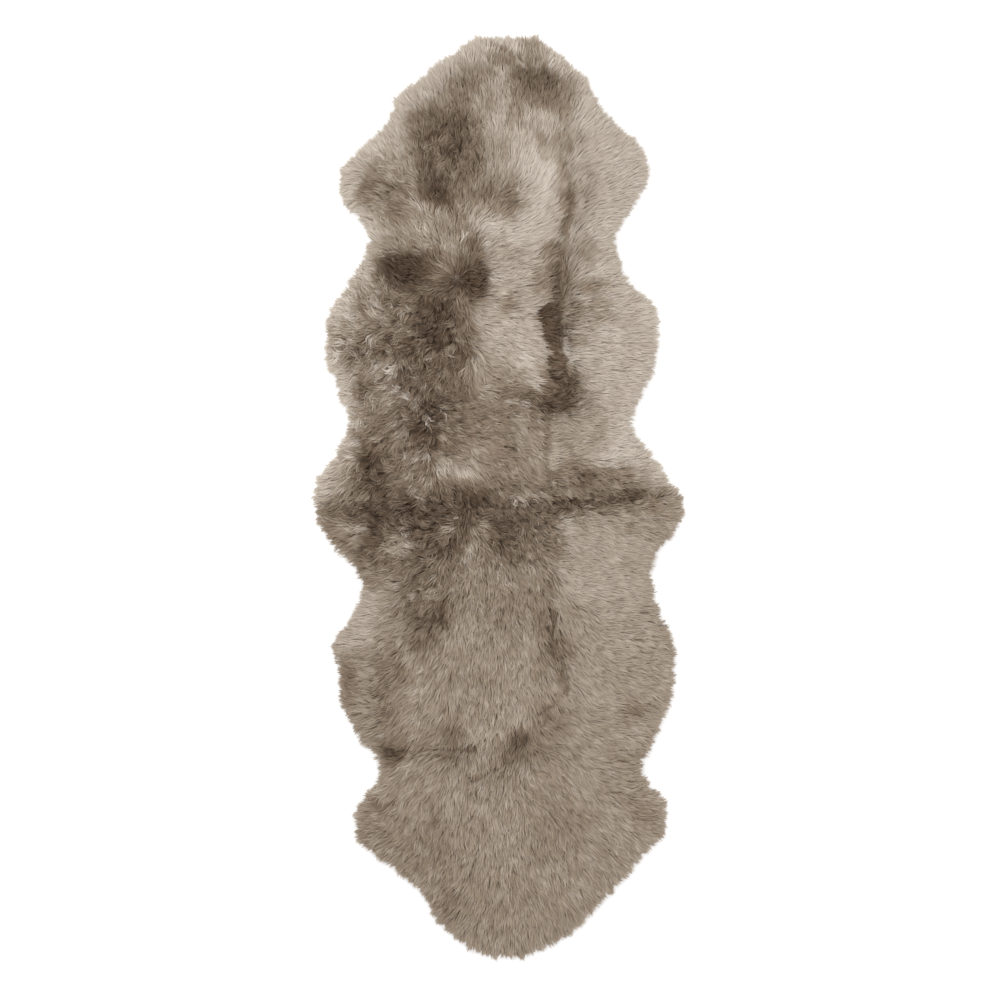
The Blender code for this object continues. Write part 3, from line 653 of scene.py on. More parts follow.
# ---------------------------------------------------------------------------------------------
# Node trees, written as Python expressions
# ---------------------------------------------------------------------------------------------
class Term:
    """A socket that Python can calculate with: each operator adds the node that does it."""

    def __init__(self, recipe, socket):
        self.recipe = recipe
        self.socket = socket

    def maths(self, operation, *others):
        values = dict(enumerate((self, *others)))
        return self.recipe.term("ShaderNodeMath", {"operation": operation}, values)

    def vector(self, operation, *others, output=0):
        values = dict(enumerate((self, *others)))
        return self.recipe.term("ShaderNodeVectorMath", {"operation": operation}, values, output)

    def either(self, operation, first, second):
        terms = [t for t in (first, second) if isinstance(t, Term)]
        spatial = any(t.socket.type == "VECTOR" for t in terms)
        kind = "ShaderNodeVectorMath" if spatial else "ShaderNodeMath"
        return self.recipe.term(kind, {"operation": operation}, {0: first, 1: second})

    def __add__(self, other):
        return self.either("ADD", self, other)

    __radd__ = __add__

    def __sub__(self, other):
        return self.either("SUBTRACT", self, other)

    def __rsub__(self, other):
        return self.either("SUBTRACT", other, self)

    def __mul__(self, other):
        if self.socket.type == "VECTOR":
            values = {0: self, "Scale": other}
            return self.recipe.term("ShaderNodeVectorMath", {"operation": "SCALE"}, values)
        return self.maths("MULTIPLY", other)

    __rmul__ = __mul__

    def __truediv__(self, other):
        return self.maths("DIVIDE", other)

    def __pow__(self, other):
        return self.maths("POWER", other)

    def between(self, low, high, way="SMOOTHSTEP"):
        """0 at low, 1 at high, eased at both ends."""
        ends = {0: self, 1: low, 2: high, 3: 0.0, 4: 1.0}
        return self.recipe.term("ShaderNodeMapRange", {"interpolation_type": way}, ends)

    def ramp(self, low, high):
        """0 at low, 1 at high, straight between."""
        return self.between(low, high, "LINEAR")


class Recipe:
    """A node tree while it is being built."""

    def __init__(self, tree):
        self.tree = tree

    def node(self, kind, settings=None, values=None):
        made = self.tree.nodes.new(kind)
        for name, value in (settings or {}).items():
            setattr(made, name, value)
        for name, value in (values or {}).items():
            if isinstance(value, Term):
                self.tree.links.new(value.socket, made.inputs[name])
            else:
                made.inputs[name].default_value = value
        return made

    def term(self, kind, settings=None, values=None, output=0):
        return Term(self, self.node(kind, settings, values).outputs[output])

    def split(self, vector):
        parts = self.node("ShaderNodeSeparateXYZ", values={0: vector}).outputs
        return [Term(self, part) for part in parts]

    def join(self, x, y, z):
        return self.term("ShaderNodeCombineXYZ", values={0: x, 1: y, 2: z})

    def noise(self, place, scale, detail=2.0, roughness=0.5, distortion=0.0):
        values = {"Vector": place, "Scale": scale, "Detail": detail}
        values |= {"Roughness": roughness, "Distortion": distortion}
        return self.term("ShaderNodeTexNoise", values=values)


class WoolRecipe(Recipe):
    """A Geometry Nodes tree, with the few nodes that it repeats."""

    def attribute(self, name, kind="FLOAT"):
        return self.term("GeometryNodeInputNamedAttribute", {"data_type": kind}, {"Name": name})

    def store(self, geometry, name, value, kind="FLOAT", domain="POINT"):
        settings = {"data_type": kind, "domain": domain}
        values = {"Geometry": geometry, "Name": name, "Value": value}
        return self.term("GeometryNodeStoreNamedAttribute", settings, values)

    def chance(self, seed, low=0.0, high=1.0):
        """A random number for each lock."""
        values = {2: low, 3: high, "Seed": seed}
        return self.term("FunctionNodeRandomValue", {"data_type": "FLOAT"}, values, output=1)


class FinishRecipe(Recipe):
    """A material's tree."""

    def __init__(self, material):
        material.use_nodes = True
        material.node_tree.nodes.clear()
        super().__init__(material.node_tree)

    def mix(self, share, low, high, blend="MIX"):
        values = {0: share, 6: low, 7: high}
        settings = {"data_type": "RGBA", "blend_type": blend}
        return self.term("ShaderNodeMix", settings, values, output=2)

    def shade(self, factor, colour):
        """The colour, darkened or lightened by a number."""
        grey = self.term("ShaderNodeCombineColor", values={0: factor, 1: factor, 2: factor})
        return self.mix(1.0, colour, grey, "MULTIPLY")

    def finish(self, values):
        shader = self.node("ShaderNodeBsdfPrincipled", values=values)
        output = self.node("ShaderNodeOutputMaterial")
        self.tree.links.new(shader.outputs[0], output.inputs[0])


def rgba(colour):
    return (*colour, 1.0)


# ---------------------------------------------------------------------------------------------
# The pelts' outline and the lie of their wool
# ---------------------------------------------------------------------------------------------
HEAD_END = CAD_BOX[1][1]


def place(head, across):
    """A table's place, in metres in the frame."""
    return np.array([across * MM, HEAD_END - head * MM])


def eased(value, low, high):
    """0 at low, 1 at high, eased at both ends; low may be the greater."""
    share = np.clip((value - low) / (high - low), 0, 1)
    return share * share * (3 - 2 * share)


def edge_chains(node):
    """The left and right points of a pelt's outline, from the head end down, as its solid has them."""
    vertices = frame["nodes"][node].data.vertices
    touching = {(round(v.co.x, 6), round(v.co.y, 6)) for v in vertices if v.co.z < SOLE_TOUCH}
    sides = [[p for p in touching if p[0] * side > 0] for side in (-1, 1)]
    return [np.array(sorted(side, key=lambda p: -p[1])) for side in sides]


def rows_and_columns(node, rows, columns):
    """Places on the pelt, in rows from its head end to its tail end, each from left to right."""
    ends = []
    for chain in edge_chains(node):
        y = chain[0, 1] + (chain[-1, 1] - chain[0, 1]) * np.asarray(rows)
        x = np.interp(-y, -chain[:, 1], chain[:, 0])
        ends.append(np.stack([x, y], -1))
    share = np.linspace(0, 1, columns + 1)
    share = (share - EDGE_CROWDING * np.sin(2 * math.pi * share))[None, :, None]
    return ends[0][:, None] * (1 - share) + ends[1][:, None] * share


def seam_ends(node=PELTS[0]):
    """The left and right ends of the seam's edge of a pelt."""
    return [chain[-1 if node == PELTS[0] else 0] for chain in edge_chains(node)]


def rug_outline():
    """Closely spaced points all the way round the rug."""
    (left, right), (left_low, right_low) = [edge_chains(node) for node in PELTS]
    corners = np.concatenate([left, left_low, right_low[::-1], right[::-1], left[:1]])
    steps = np.hypot(*np.diff(corners, axis=0).T)
    along = np.concatenate([[0], np.cumsum(steps)])
    spots = np.arange(0, along[-1], OUTLINE_STEP)
    return np.stack([np.interp(spots, along, corners[:, k]) for k in (0, 1)], -1)


def rim_of(points, outline):
    """Each point's distance from the outline, and the way out to it, which fades where sides cancel."""
    run = np.roll(outline, -1, 0) - np.roll(outline, 1, 0)
    normals = np.stack([run[:, 1], -run[:, 0]], -1) / np.maximum(np.hypot(*run.T), 1e-9)[:, None]
    distance = np.empty(len(points))
    way_out = np.empty((len(points), 2))
    for start in range(0, len(points), 2000):
        part = slice(start, start + 2000)
        far = np.hypot(*np.moveaxis(outline[None] - points[part, None], -1, 0))
        nearest = far.min(1)
        weight = np.exp((nearest[:, None] - far) / CORNER_ROUNDING)
        distance[part] = nearest
        way_out[part] = weight @ normals / weight.sum(1)[:, None]
    return distance, way_out


def solid_heights(points):
    """How high the pelts' solids stand over each point."""
    corners, faces = [], []
    for node in PELTS:
        mesh = frame["nodes"][node].data
        faces += [[i + len(corners) for i in p.vertices] for p in mesh.polygons]
        corners += [v.co.copy() for v in mesh.vertices]
    tree = BVHTree.FromPolygons(corners, faces)
    sky = 0.2
    heights = []
    for x, y in points:
        hit = tree.ray_cast(Vector((x, y, sky)), Vector((0, 0, -1)))[0]
        heights.append(hit.z if hit else np.nan)
    heights = np.array(heights)
    heights[np.isnan(heights)] = np.nanmin(heights)
    return heights


def blurred(grid, passes):
    """The grid's values, each averaged with its neighbours a few times."""
    for _ in range(passes):
        wide = np.pad(grid, 1, mode="edge")
        sides = wide[:-2, 1:-1] + wide[2:, 1:-1] + wide[1:-1, :-2] + wide[1:-1, 2:]
        grid = 0.5 * grid + 0.125 * sides
    return grid


def wander(points, size, seed):
    """Smooth random offsets, from -1 to 1 each way, that change over the given size."""
    noise.seed_set(NOISE_SEED)
    offset = Vector((seed * 17.3, seed * 5.1, seed * 9.7))
    return np.array([noise.noise_vector(Vector((x, y, 0)) / size + offset)[:2] for x, y in points])


def frayed(points, layers):
    """The points, moved by layers of smooth random offsets."""
    moved = points
    for size, seed, reach in layers:
        moved = moved + wander(points, size, seed) * reach
    return moved


def blended_flow(points, flow):
    """The direction that the wool lies in at each point, and how well its neighbours agree on it."""
    way = np.zeros((len(points), 2))
    total = np.full(len(points), 1e-9)
    for _, head, across, heading, hold in flow:
        far = np.hypot(*(points - place(head, across)).T) / (FLOW_REACH * hold * MM)
        angle = math.radians(heading)
        weight = np.exp(-0.5 * far**2)
        way += weight[:, None] * [math.cos(angle), math.sin(angle)]
        total += weight
    strength = np.hypot(*way.T)
    return way / np.maximum(strength, 1e-9)[:, None], strength / total


def patch_weight(points, head, across, half_length, half_width, turn):
    """1 in the middle of an oval patch, 0 outside it, with a soft edge."""
    x, y = (points - place(head, across)).T / MM
    angle = math.radians(turn)
    right = x * math.cos(angle) + y * math.sin(angle)
    up = y * math.cos(angle) - x * math.sin(angle)
    return eased(np.hypot(right / half_width, up / half_length), *PATCH_EDGE)


def parting_weight(points, start, end, half_width):
    """1 on the line from start to end, 0 beyond the half width."""
    run = end - start
    share = np.clip(((points - start) @ run) / (run @ run), 0, 1)
    far = np.hypot(*(points - start - share[:, None] * run).T)
    return eased(far / (half_width * MM), *LINE_EDGE)


def run_to_line(points, way, start, end):
    """How far each point's wool can run before it meets the line from start to end."""
    line = end - start
    across = way[:, 0] * line[1] - way[:, 1] * line[0]
    across = np.where(np.abs(across) < 1e-9, 1e-9, across)
    from_start = start - points
    run = (from_start[:, 0] * line[1] - from_start[:, 1] * line[0]) / across
    share = (from_start[:, 0] * way[:, 1] - from_start[:, 1] * way[:, 0]) / across
    return np.where((run > 0) & (share >= 0) & (share <= 1), run, 1.0)


class Pelt:
    """One pelt: a carrier grid at the roots of the wool, with the lie of the wool on it."""

    def __init__(self, node, outline, shape, length):
        self.node = node
        self.kind = RESTING_WOOL[node]
        rows = np.linspace(0, 1, CARRIER_ROWS + 1)
        plan = rows_and_columns(node, rows, CARRIER_COLUMNS)
        self.size = plan.shape[:2]
        flat = plan.reshape(-1, 2)
        distance, way_out = rim_of(flat, outline)
        tuck = shape.wool_overhang * (1 - np.clip(distance / shape.rim_width, 0, 1)) ** 2
        flat = flat - way_out * tuck[:, None]
        height = solid_heights(plan.reshape(-1, 2)) * shape.undercoat_share
        lumps = np.array([noise.noise(Vector((x, y, 0)) / LUMP_SIZE) for x, y in flat])
        height = blurred(height.reshape(self.size), 4).ravel() + lumps * LUMP_HEIGHT
        groove = np.zeros(len(flat))
        for _, head, across, head_end, across_end, half_width, _, _, depth in PARTINGS:
            ends = place(head, across), place(head_end, across_end)
            weight = parting_weight(flat, *ends, half_width + GROOVE_BANK)
            groove = np.maximum(groove, weight * depth * MM)
        lowest = np.minimum(height, shape.skin_thickness + UNDERCOAT_FLOOR)
        self.height = np.maximum(height - groove, lowest)
        self.plan = flat
        self.distance, way_out = rim_of(flat, outline)
        self.way_out = way_out / np.maximum(np.hypot(*way_out.T), 1e-6)[:, None]
        self.comb(length)

    def comb(self, length):
        """Works out how the wool lies at each point of the carrier."""
        kind = self.kind
        loose = frayed(self.plan, PATCH_FRAY)
        way, agreed = blended_flow(loose, FLOWS[self.node])
        outwards = np.exp(-((self.distance / OUTWARD_WIDTH) ** 2))[:, None]
        way = way * (1 - outwards) + self.way_out * outwards * OUTWARD_PULL
        self.way = way / np.maximum(np.hypot(*way.T), 1e-9)[:, None]
        tone = np.full(len(loose), kind["tone"])
        lift = np.zeros(len(loose))
        curl = np.full(len(loose), kind["curl"])
        for _, head, across, long, wide, turn, _, upright, curly in SHADES[self.node]:
            weight = patch_weight(loose + self.way * length * LIE_SHIFT, head, across, long, wide, turn)
            lift += weight * (upright - lift)
            curl += weight * (curly - curl)
        shift = TONE_SHIFT - TONE_SHIFT_UPRIGHT * np.maximum(lift, 0)
        seen = self.way * (length * shift)[:, None]
        # The tables' tones are partly the wool's own colour and partly painted shade and sheen, read
        # where the wool is seen.
        for _, head, across, long, wide, turn, shade, _, _ in SHADES[self.node]:
            weight = patch_weight(loose + seen, head, across, long, wide, turn)
            tone += weight * (shade - tone)
        close = frayed(self.plan, LINE_FRAY)
        self.room = self.distance / np.maximum((self.way * self.way_out).sum(1), 0.12)
        # Darkening along partings: partly darker roots that show, partly painted shade in the grooves
        # and painted shadow behind the furrow creases.
        darker = np.zeros(len(close))
        raised = np.zeros(len(close))
        for name, head, across, head_end, across_end, half_width, shade, upright, _ in PARTINGS:
            ends = place(head, across), place(head_end, across_end)
            if "furrow crease" in name:
                # Wool just behind a crease lies in its shadow and is painted darker; the crease also
                # stops the wool before it.
                behind = run_to_line(close, -self.way, *ends)
                weight = eased(behind / (half_width * MM), *LINE_EDGE)
                before = np.where(behind < 0.006, 0.014, run_to_line(close, self.way, *ends))
                self.room = np.minimum(self.room, before)
            else:
                weight = parting_weight(close + seen * 0.5, *ends, half_width)
            darker = np.minimum(darker, weight * shade)
            raised = np.maximum(raised, weight * upright)
        tone += darker * np.clip((tone + 0.2) / 0.8, 0.2, 1)
        lift += raised * (1 - np.abs(lift))
        curl += raised * 0.4
        if self.node == PELTS[0]:
            ends = seam_ends()
            overlap = 0.007 + 0.045 * eased(self.plan[:, 0], 0.02, 0.12)
            overlap += wander(self.plan, 0.022, 4)[:, 0] * 0.012
            self.room = np.minimum(self.room, run_to_line(self.plan, self.way, *ends) + overlap)
        astray = eased(agreed, *AGREED) * (1 - outwards[:, 0])
        pale, width, share = kind["rim"]
        rim = share * np.exp(-((self.distance / width) ** 2))
        # Painted light: the rim is made paler, as if lit from the bright floor round the rug. Painted
        # shade: wool that goes astray and stands up where headings cancel is made darker.
        tone += rim * np.maximum(pale - tone, 0) - 0.1 * astray
        self.tone = np.clip(tone, 0.0, 1)
        self.lift = np.clip(lift * (1 - 0.7 * rim) + 0.35 * astray, -0.3, 0.9)
        self.curl = np.clip(curl + 0.35 * astray, 0, 1.2)

    def index(self, row, column):
        return row * self.size[1] + column


def carrier(name, pelt, first, last, wool):
    """A band of the pelt's carrier as a mesh, with the lie of the wool as named attributes."""
    rows, columns = pelt.size[0], last - first + 1
    picked = np.array([[pelt.index(r, c) for c in range(first, last + 1)] for r in range(rows)])
    places = np.column_stack([pelt.plan, pelt.height])[picked.ravel()]
    faces = []
    for r in range(rows - 1):
        for c in range(columns - 1):
            corner = r * columns + c
            faces.append((corner, corner + columns, corner + columns + 1, corner + 1))
    mesh = bpy.data.meshes.new(name)
    mesh.from_pydata(places.tolist(), [], faces)
    chosen = picked.ravel()
    upright = np.maximum(pelt.lift[chosen], 0)
    pressed = np.minimum(pelt.lift[chosen], 0)
    lean = pelt.kind["lean"] * (1 - UPRIGHT_LEAN * upright) - PRESSED_LEAN * pressed
    values = {
        "lean": np.radians(lean),
        "length": wool.length * (1 - UPRIGHT_SHORTER * upright),
        # tone: the wool's own colour together with painted shade and sheen
        "tone": pelt.tone[chosen],
        "curl": pelt.curl[chosen],
        "room": np.minimum(pelt.room[chosen], 1.0),
    }
    for key, numbers in values.items():
        mesh.attributes.new(key, "FLOAT", "POINT").data.foreach_set("value", numbers.astype(np.float32))
    ways = np.column_stack([pelt.way[chosen], np.zeros(len(chosen))]).astype(np.float32)
    mesh.attributes.new("way", "FLOAT_VECTOR", "POINT").data.foreach_set("vector", ways.ravel())
    carried = bpy.data.objects.new(name, mesh)
    bpy.context.scene.collection.objects.link(carried)
    return carried


# ---------------------------------------------------------------------------------------------
# Finishes
# ---------------------------------------------------------------------------------------------
def wool_finish(wool):
    """Long wool: every lock reads its tone, its fibres and its way from root to tip from the chart."""
    material = bpy.data.materials.new("long_wool")
    recipe = FinishRecipe(material)
    chart = recipe.term("ShaderNodeUVMap", {"uv_map": "OFBake"})
    u, v, _ = recipe.split(chart)
    columns, rows = u * TONES, v * PATTERNS
    # The chart's column is the lock's tone: the wool's own colour together with painted shade and
    # sheen.
    tone = (columns.maths("FLOOR") + 0.5) / TONES
    across = (columns.maths("FRACT") - 0.5) / LOCK_SHARE
    along = (rows.maths("FRACT") - ROW_MARGIN) / (1 - 2 * ROW_MARGIN)
    fibres = recipe.noise(recipe.join(columns * 2.3, rows * 1.4, 0.0), 1.9, 3.0, 0.6, 0.4)
    low, high = tone.ramp(0.0, 0.5), tone.ramp(0.5, 1.0)
    tip = recipe.mix(low, rgba(wool.dark), rgba(wool.middle))
    tip = recipe.mix(high, tip, rgba(wool.light))
    root = recipe.mix(1.0, tip, rgba(wool.root_stain), "MULTIPLY")
    colour = recipe.mix(along.between(-0.1, 0.5), root, tip)
    colour = recipe.shade(fibres * 0.18 + 0.91, colour)
    rounding = 1 - across * across
    bump = {"Strength": 0.3, "Distance": 0.0006, "Height": rounding * 0.7 + fibres * 0.6}
    recipe.finish({
        "Base Color": colour,
        "Roughness": fibres * 0.25 + 0.5,
        "Specular IOR Level": 0.3,
        "Sheen Weight": 0.08,
        "Sheen Roughness": 0.4,
        "Sheen Tint": (1.0, 0.88, 0.74, 1.0),
        "Normal": recipe.term("ShaderNodeBump", values=bump),
    })
    return material


def undercoat_finish(wool):
    """The dense short wool at the roots, dark and felted."""
    material = bpy.data.materials.new("undercoat_wool")
    recipe = FinishRecipe(material)
    here = recipe.term("ShaderNodeTexCoord", output="Object")
    fluff = recipe.noise(here, 260.0, 4.0, 0.65, 0.8)
    patches = recipe.noise(here, 34.0, 2.0)
    # The undercoat follows the wool's tone, with its painted shade and sheen.
    tone = recipe.term("ShaderNodeAttribute", {"attribute_name": "tone"}, output=2)
    colour = recipe.mix(tone, rgba(wool.dark), rgba(wool.light))
    colour = recipe.shade((fluff * 0.6 + 0.5) * (patches * 0.4 + 0.7), colour)
    colour = recipe.mix(0.5, colour, rgba(wool.root_stain), "MULTIPLY")
    bump = {"Strength": 0.9, "Distance": 0.002, "Height": fluff}
    recipe.finish({
        "Base Color": colour,
        "Roughness": fluff * 0.2 + 0.75,
        "Normal": recipe.term("ShaderNodeBump", values=bump),
    })
    return material


def suede_finish(skin):
    """The flesh side of the tanned skin: a fine nap, faint growth lines and paler scuffs."""
    material = bpy.data.materials.new("suede_flesh_side")
    recipe = FinishRecipe(material)
    here = recipe.term("ShaderNodeTexCoord", output="Object")
    nap = recipe.noise(here, 1400.0, 3.0, 0.7)
    clouds = recipe.noise(here, 9.0, 4.0, 0.55, 0.3)
    x, y, z = recipe.split(here)
    stretched = recipe.join(x * 1.0, y * 0.35, z)
    veins = recipe.noise(stretched, 42.0, 5.0, 0.6, 1.6)
    crease = (veins - 0.5).maths("ABSOLUTE").between(0.0, 0.045)
    colour = recipe.mix(clouds.between(0.3, 0.7), rgba(skin.shadow), rgba(skin.colour))
    colour = recipe.shade((crease * 0.1 + 0.9) * (nap * 0.22 + 0.89), colour)
    bump = {"Strength": 0.45, "Distance": 0.0006, "Height": nap * 0.6 + crease * 0.5 + clouds * 0.4}
    recipe.finish({
        "Base Color": colour,
        "Roughness": nap * 0.15 + 0.78,
        "Sheen Weight": 0.3,
        "Sheen Roughness": 0.5,
        "Normal": recipe.term("ShaderNodeBump", values=bump),
    })
    return material


def thread_finish(skin):
    """Waxed linen thread with its twist."""
    material = bpy.data.materials.new("waxed_thread")
    recipe = FinishRecipe(material)
    here = recipe.term("ShaderNodeTexCoord", output="Object")
    x, y, _ = recipe.split(here)
    twist = ((x + y) * 5200.0).maths("SINE") * 0.5 + 0.5
    wear = recipe.noise(here, 300.0, 2.0)
    # The twist's darker stripes are painted shade in the grooves between the plies.
    colour = recipe.mix(twist, rgba(skin.shadow), rgba(skin.thread))
    colour = recipe.shade(wear * 0.3 + 0.82, colour)
    bump = {"Strength": 0.5, "Distance": 0.0003, "Height": twist}
    recipe.finish({
        "Base Color": colour,
        "Roughness": wear * 0.2 + 0.45,
        "Normal": recipe.term("ShaderNodeBump", values=bump),
    })
    return material


# ---------------------------------------------------------------------------------------------
# Geometry Nodes: the locks of wool, and the stitches
# ---------------------------------------------------------------------------------------------
def new_tree(name, sizes):
    """A Geometry Nodes tree with these named inputs, as (name, socket type) pairs."""
    tree = bpy.data.node_groups.new(name, "GeometryNodeTree")
    tree.interface.new_socket("Geometry", in_out="INPUT", socket_type="NodeSocketGeometry")
    for label, kind in sizes:
        tree.interface.new_socket(label, in_out="INPUT", socket_type=kind)
    tree.interface.new_socket("Geometry", in_out="OUTPUT", socket_type="NodeSocketGeometry")
    recipe = WoolRecipe(tree)
    given = recipe.node("NodeGroupInput").outputs
    return recipe, {socket.name: Term(recipe, socket) for socket in given if socket.name}


def end_tree(recipe, geometry, material):
    """Ends a tree the way every tree here ends: instances made real, and a material set."""
    real = recipe.term("GeometryNodeRealizeInstances", values={"Geometry": geometry})
    dressed = {"Geometry": real, "Material": material}
    dressed = recipe.term("GeometryNodeSetMaterial", values=dressed)
    output = recipe.node("NodeGroupOutput")
    recipe.tree.links.new(dressed.socket, output.inputs[0])


def grown(obj, tree, name, **sizes):
    """The plain mesh that the tree makes from obj, which is used up."""
    modifier = obj.modifiers.new("grow", "NODES")
    modifier.node_group = tree
    for item in tree.interface.items_tree:
        key = item.name.lower().replace(" ", "_")
        if item.in_out == "INPUT" and key in sizes:
            modifier[item.identifier] = sizes[key]
    view = bpy.context.evaluated_depsgraph_get()
    mesh = bpy.data.meshes.new_from_object(obj.evaluated_get(view))
    mesh.name = name
    used = obj.data
    bpy.data.objects.remove(obj)
    if isinstance(used, bpy.types.Mesh):
        bpy.data.meshes.remove(used)
    piece = bpy.data.objects.new(name, mesh)
    bpy.context.scene.collection.objects.link(piece)
    return piece


def lock_template(recipe):
    """A flat ribbon that ends in a point, with how far along and to which side each corner is."""
    sizes = {"Size X": 1.0, "Size Y": 1.0, "Vertices X": 2, "Vertices Y": LOCK_STEPS + 1}
    ribbon = recipe.term("GeometryNodeMeshGrid", values=sizes)
    x, y, _ = recipe.split(recipe.term("GeometryNodeInputPosition"))
    ribbon = recipe.store(ribbon, "along", y + 0.5)
    ribbon = recipe.store(ribbon, "side", x * 2.0)
    not_tip = recipe.attribute("along").maths("LESS_THAN", 0.99)
    pointed = {"Geometry": ribbon, "Position": recipe.join(x * not_tip, y, 0.0)}
    ribbon = recipe.term("GeometryNodeSetPosition", values=pointed)
    ribbon = recipe.store(ribbon, "side", recipe.attribute("side") * not_tip)
    joined = {"Geometry": ribbon, "Distance": 0.001}
    return recipe.term("GeometryNodeMergeByDistance", values=joined)


def lock_habits(recipe, given, up):
    """What each lock does, worked out at its root: its vectors and its numbers, by name."""
    here = recipe.term("GeometryNodeInputPosition")
    curl = recipe.attribute("curl")
    way = recipe.attribute("way", "FLOAT_VECTOR")
    level = way - up * way.vector("DOT_PRODUCT", up, output="Value")

    # The staple that the lock belongs to: its middle, its border and three numbers of its own.
    curly = curl.maths("GREATER_THAN", 0.5)
    size = given["Staple size"] * (curly * 0.25 + 1)
    bunches = {"Vector": here.vector("DIVIDE", recipe.join(size, size, size)), "Scale": 1.0}
    staple = recipe.node("ShaderNodeTexVoronoi", {"voronoi_dimensions": "2D"}, bunches)
    heart = Term(recipe, staple.outputs["Position"]) * size
    first_lot, second_lot, third_lot = recipe.split(Term(recipe, staple.outputs["Color"]))
    to_x, to_y, _ = recipe.split(heart - here)
    apart = (to_x * to_x + to_y * to_y) ** 0.5 / size
    border = apart.between(0.22, 0.6)

    # The way it points.
    ruffle = recipe.noise(here, 38.0, 2.0) - 0.5
    turn = ruffle * (curl * 3.2 + 0.6) + (first_lot - 0.5) * (curl * 1.6 + 0.1)
    turn = turn + recipe.chance(1, -0.5, 0.5) * (curl * 0.6 + 0.16)
    turned = {"Vector": level.vector("NORMALIZE"), "Axis": up, "Angle": turn}
    ahead = recipe.term("ShaderNodeVectorRotate", {"rotation_type": "AXIS_ANGLE"}, turned)

    # How far it leans over and bends, in radians.
    swell = recipe.noise(here + (0.3, 0.1, 0.7), 55.0, 2.0) - 0.5
    lean = recipe.attribute("lean") + swell * (curl * 0.9 + 0.25)
    lean = lean + recipe.chance(2, -1.0, 1.0) * (curl * 0.1 + 0.03)
    lean = lean + (second_lot - 0.5) * (curl * 0.5 + 0.02) + border * 0.04
    lean = lean.maths("MAXIMUM", 0.12).maths("MINIMUM", 1.42)
    bend = recipe.chance(3, 0.15, 0.55) + curl * 0.3

    # How long it is, but for a few strays no longer than it has room.
    reach = recipe.attribute("length") * (recipe.chance(4, 0.72, 1.18) + swell * 0.3 - border * 0.08)
    tuft = first_lot.between(0.35, 1.0) * 0.009 - 0.0035 - border * 0.003
    room = recipe.attribute("room") + recipe.chance(5) ** 3.0 * given["Stray reach"] + tuft
    room = room.maths("MAXIMUM", 0.003)
    reach = reach.maths("MINIMUM", room * 1.06)
    at_rim = 1 - room.ramp(0.004, 0.034)
    gather = recipe.join(to_x, to_y, 0.0) * (curl * 0.55 + at_rim * 0.18 + 0.16)

    # Its tone, which strays further where the wool is curly or dark. Most of the straying is the wool's
    # own random tone; the darker staple borders and the few much darker locks are painted shade in the
    # gaps between locks.
    drift = recipe.noise(here + (0.9, 0.4, 0.2), 24.0, 3.0) - 0.5
    tone = recipe.attribute("tone")
    contrast = curl * 0.2 + curl * curl * 0.32 + (1 - tone) * 0.16 + 0.01
    bunch = third_lot.ramp(0.62, 1.0) * curl * 0.5 + (second_lot - 0.5) * (curl * 0.15 + 0.03)
    bunch = bunch - (border - 0.4) * (curl * 0.3 + 0.02)
    tone = tone + drift * (curl * 0.3 + 0.16) + bunch + (0.25 - recipe.chance(6) ** 3.0) * contrast
    column = (tone.maths("MAXIMUM", 0.0).maths("MINIMUM", 0.999) * TONES).maths("FLOOR")
    row = recipe.chance(7, 0.0, PATTERNS - 0.01).maths("FLOOR")

    vectors = {"root": here, "up": up, "ahead": ahead, "gather": gather}
    numbers = {
        "start_lean": lean - bend * 0.5,
        "bend": bend,
        "reach": reach,
        "half_width": given["Lock width"] * recipe.chance(8, 0.28, 0.55),
        "sway": reach * ((third_lot - 0.5) * (curl * 0.45 + 0.08) + recipe.chance(9, -0.03, 0.03)),
        "arc": reach * ((second_lot - 0.5) * (curl * 0.7 + 0.16) + recipe.chance(12, -0.05, 0.05)),
        "phase": first_lot * 6.28 + recipe.chance(10, -0.4, 0.4),
        "roll": recipe.chance(11, -0.97, 0.97) ** 5.0,
        "column": column,
        "row": row,
    }
    return vectors, numbers


def lock_form(recipe, vectors, numbers):
    """Where each corner of a lock goes, and its place on the colour chart."""
    along, side = recipe.attribute("along"), recipe.attribute("side")
    root, up, ahead, gather = [recipe.attribute(name, "FLOAT_VECTOR") for name in vectors]
    values = map(recipe.attribute, numbers)
    start, bend, reach, half_width, sway, arc, phase, roll, column, row = values
    angle = start + bend * along
    forward = reach * (start.maths("COSINE") - angle.maths("COSINE")) / bend
    rise = reach * (angle.maths("SINE") - start.maths("SINE")) / bend
    sideways = ahead.vector("CROSS_PRODUCT", up)
    swung = sway * along * (along * 6.5 + phase).maths("SINE") + arc * along * along
    middle = root + ahead * forward + up * rise + sideways * swung + gather * (along * along)
    taper = (along * 1.1 + 0.45) * (1 - along * along)
    edge = sideways * roll.maths("COSINE") + up * roll.maths("SINE")
    x, y, z = recipe.split(middle + edge * (side * half_width * taper))
    u = (column + 0.5 + side * LOCK_SHARE) / TONES
    v = (row + ROW_MARGIN + along * (1 - 2 * ROW_MARGIN)) / PATTERNS
    return recipe.join(x, y, z.maths("MAXIMUM", LOWEST_WOOL)), recipe.join(u, v, 0.0)


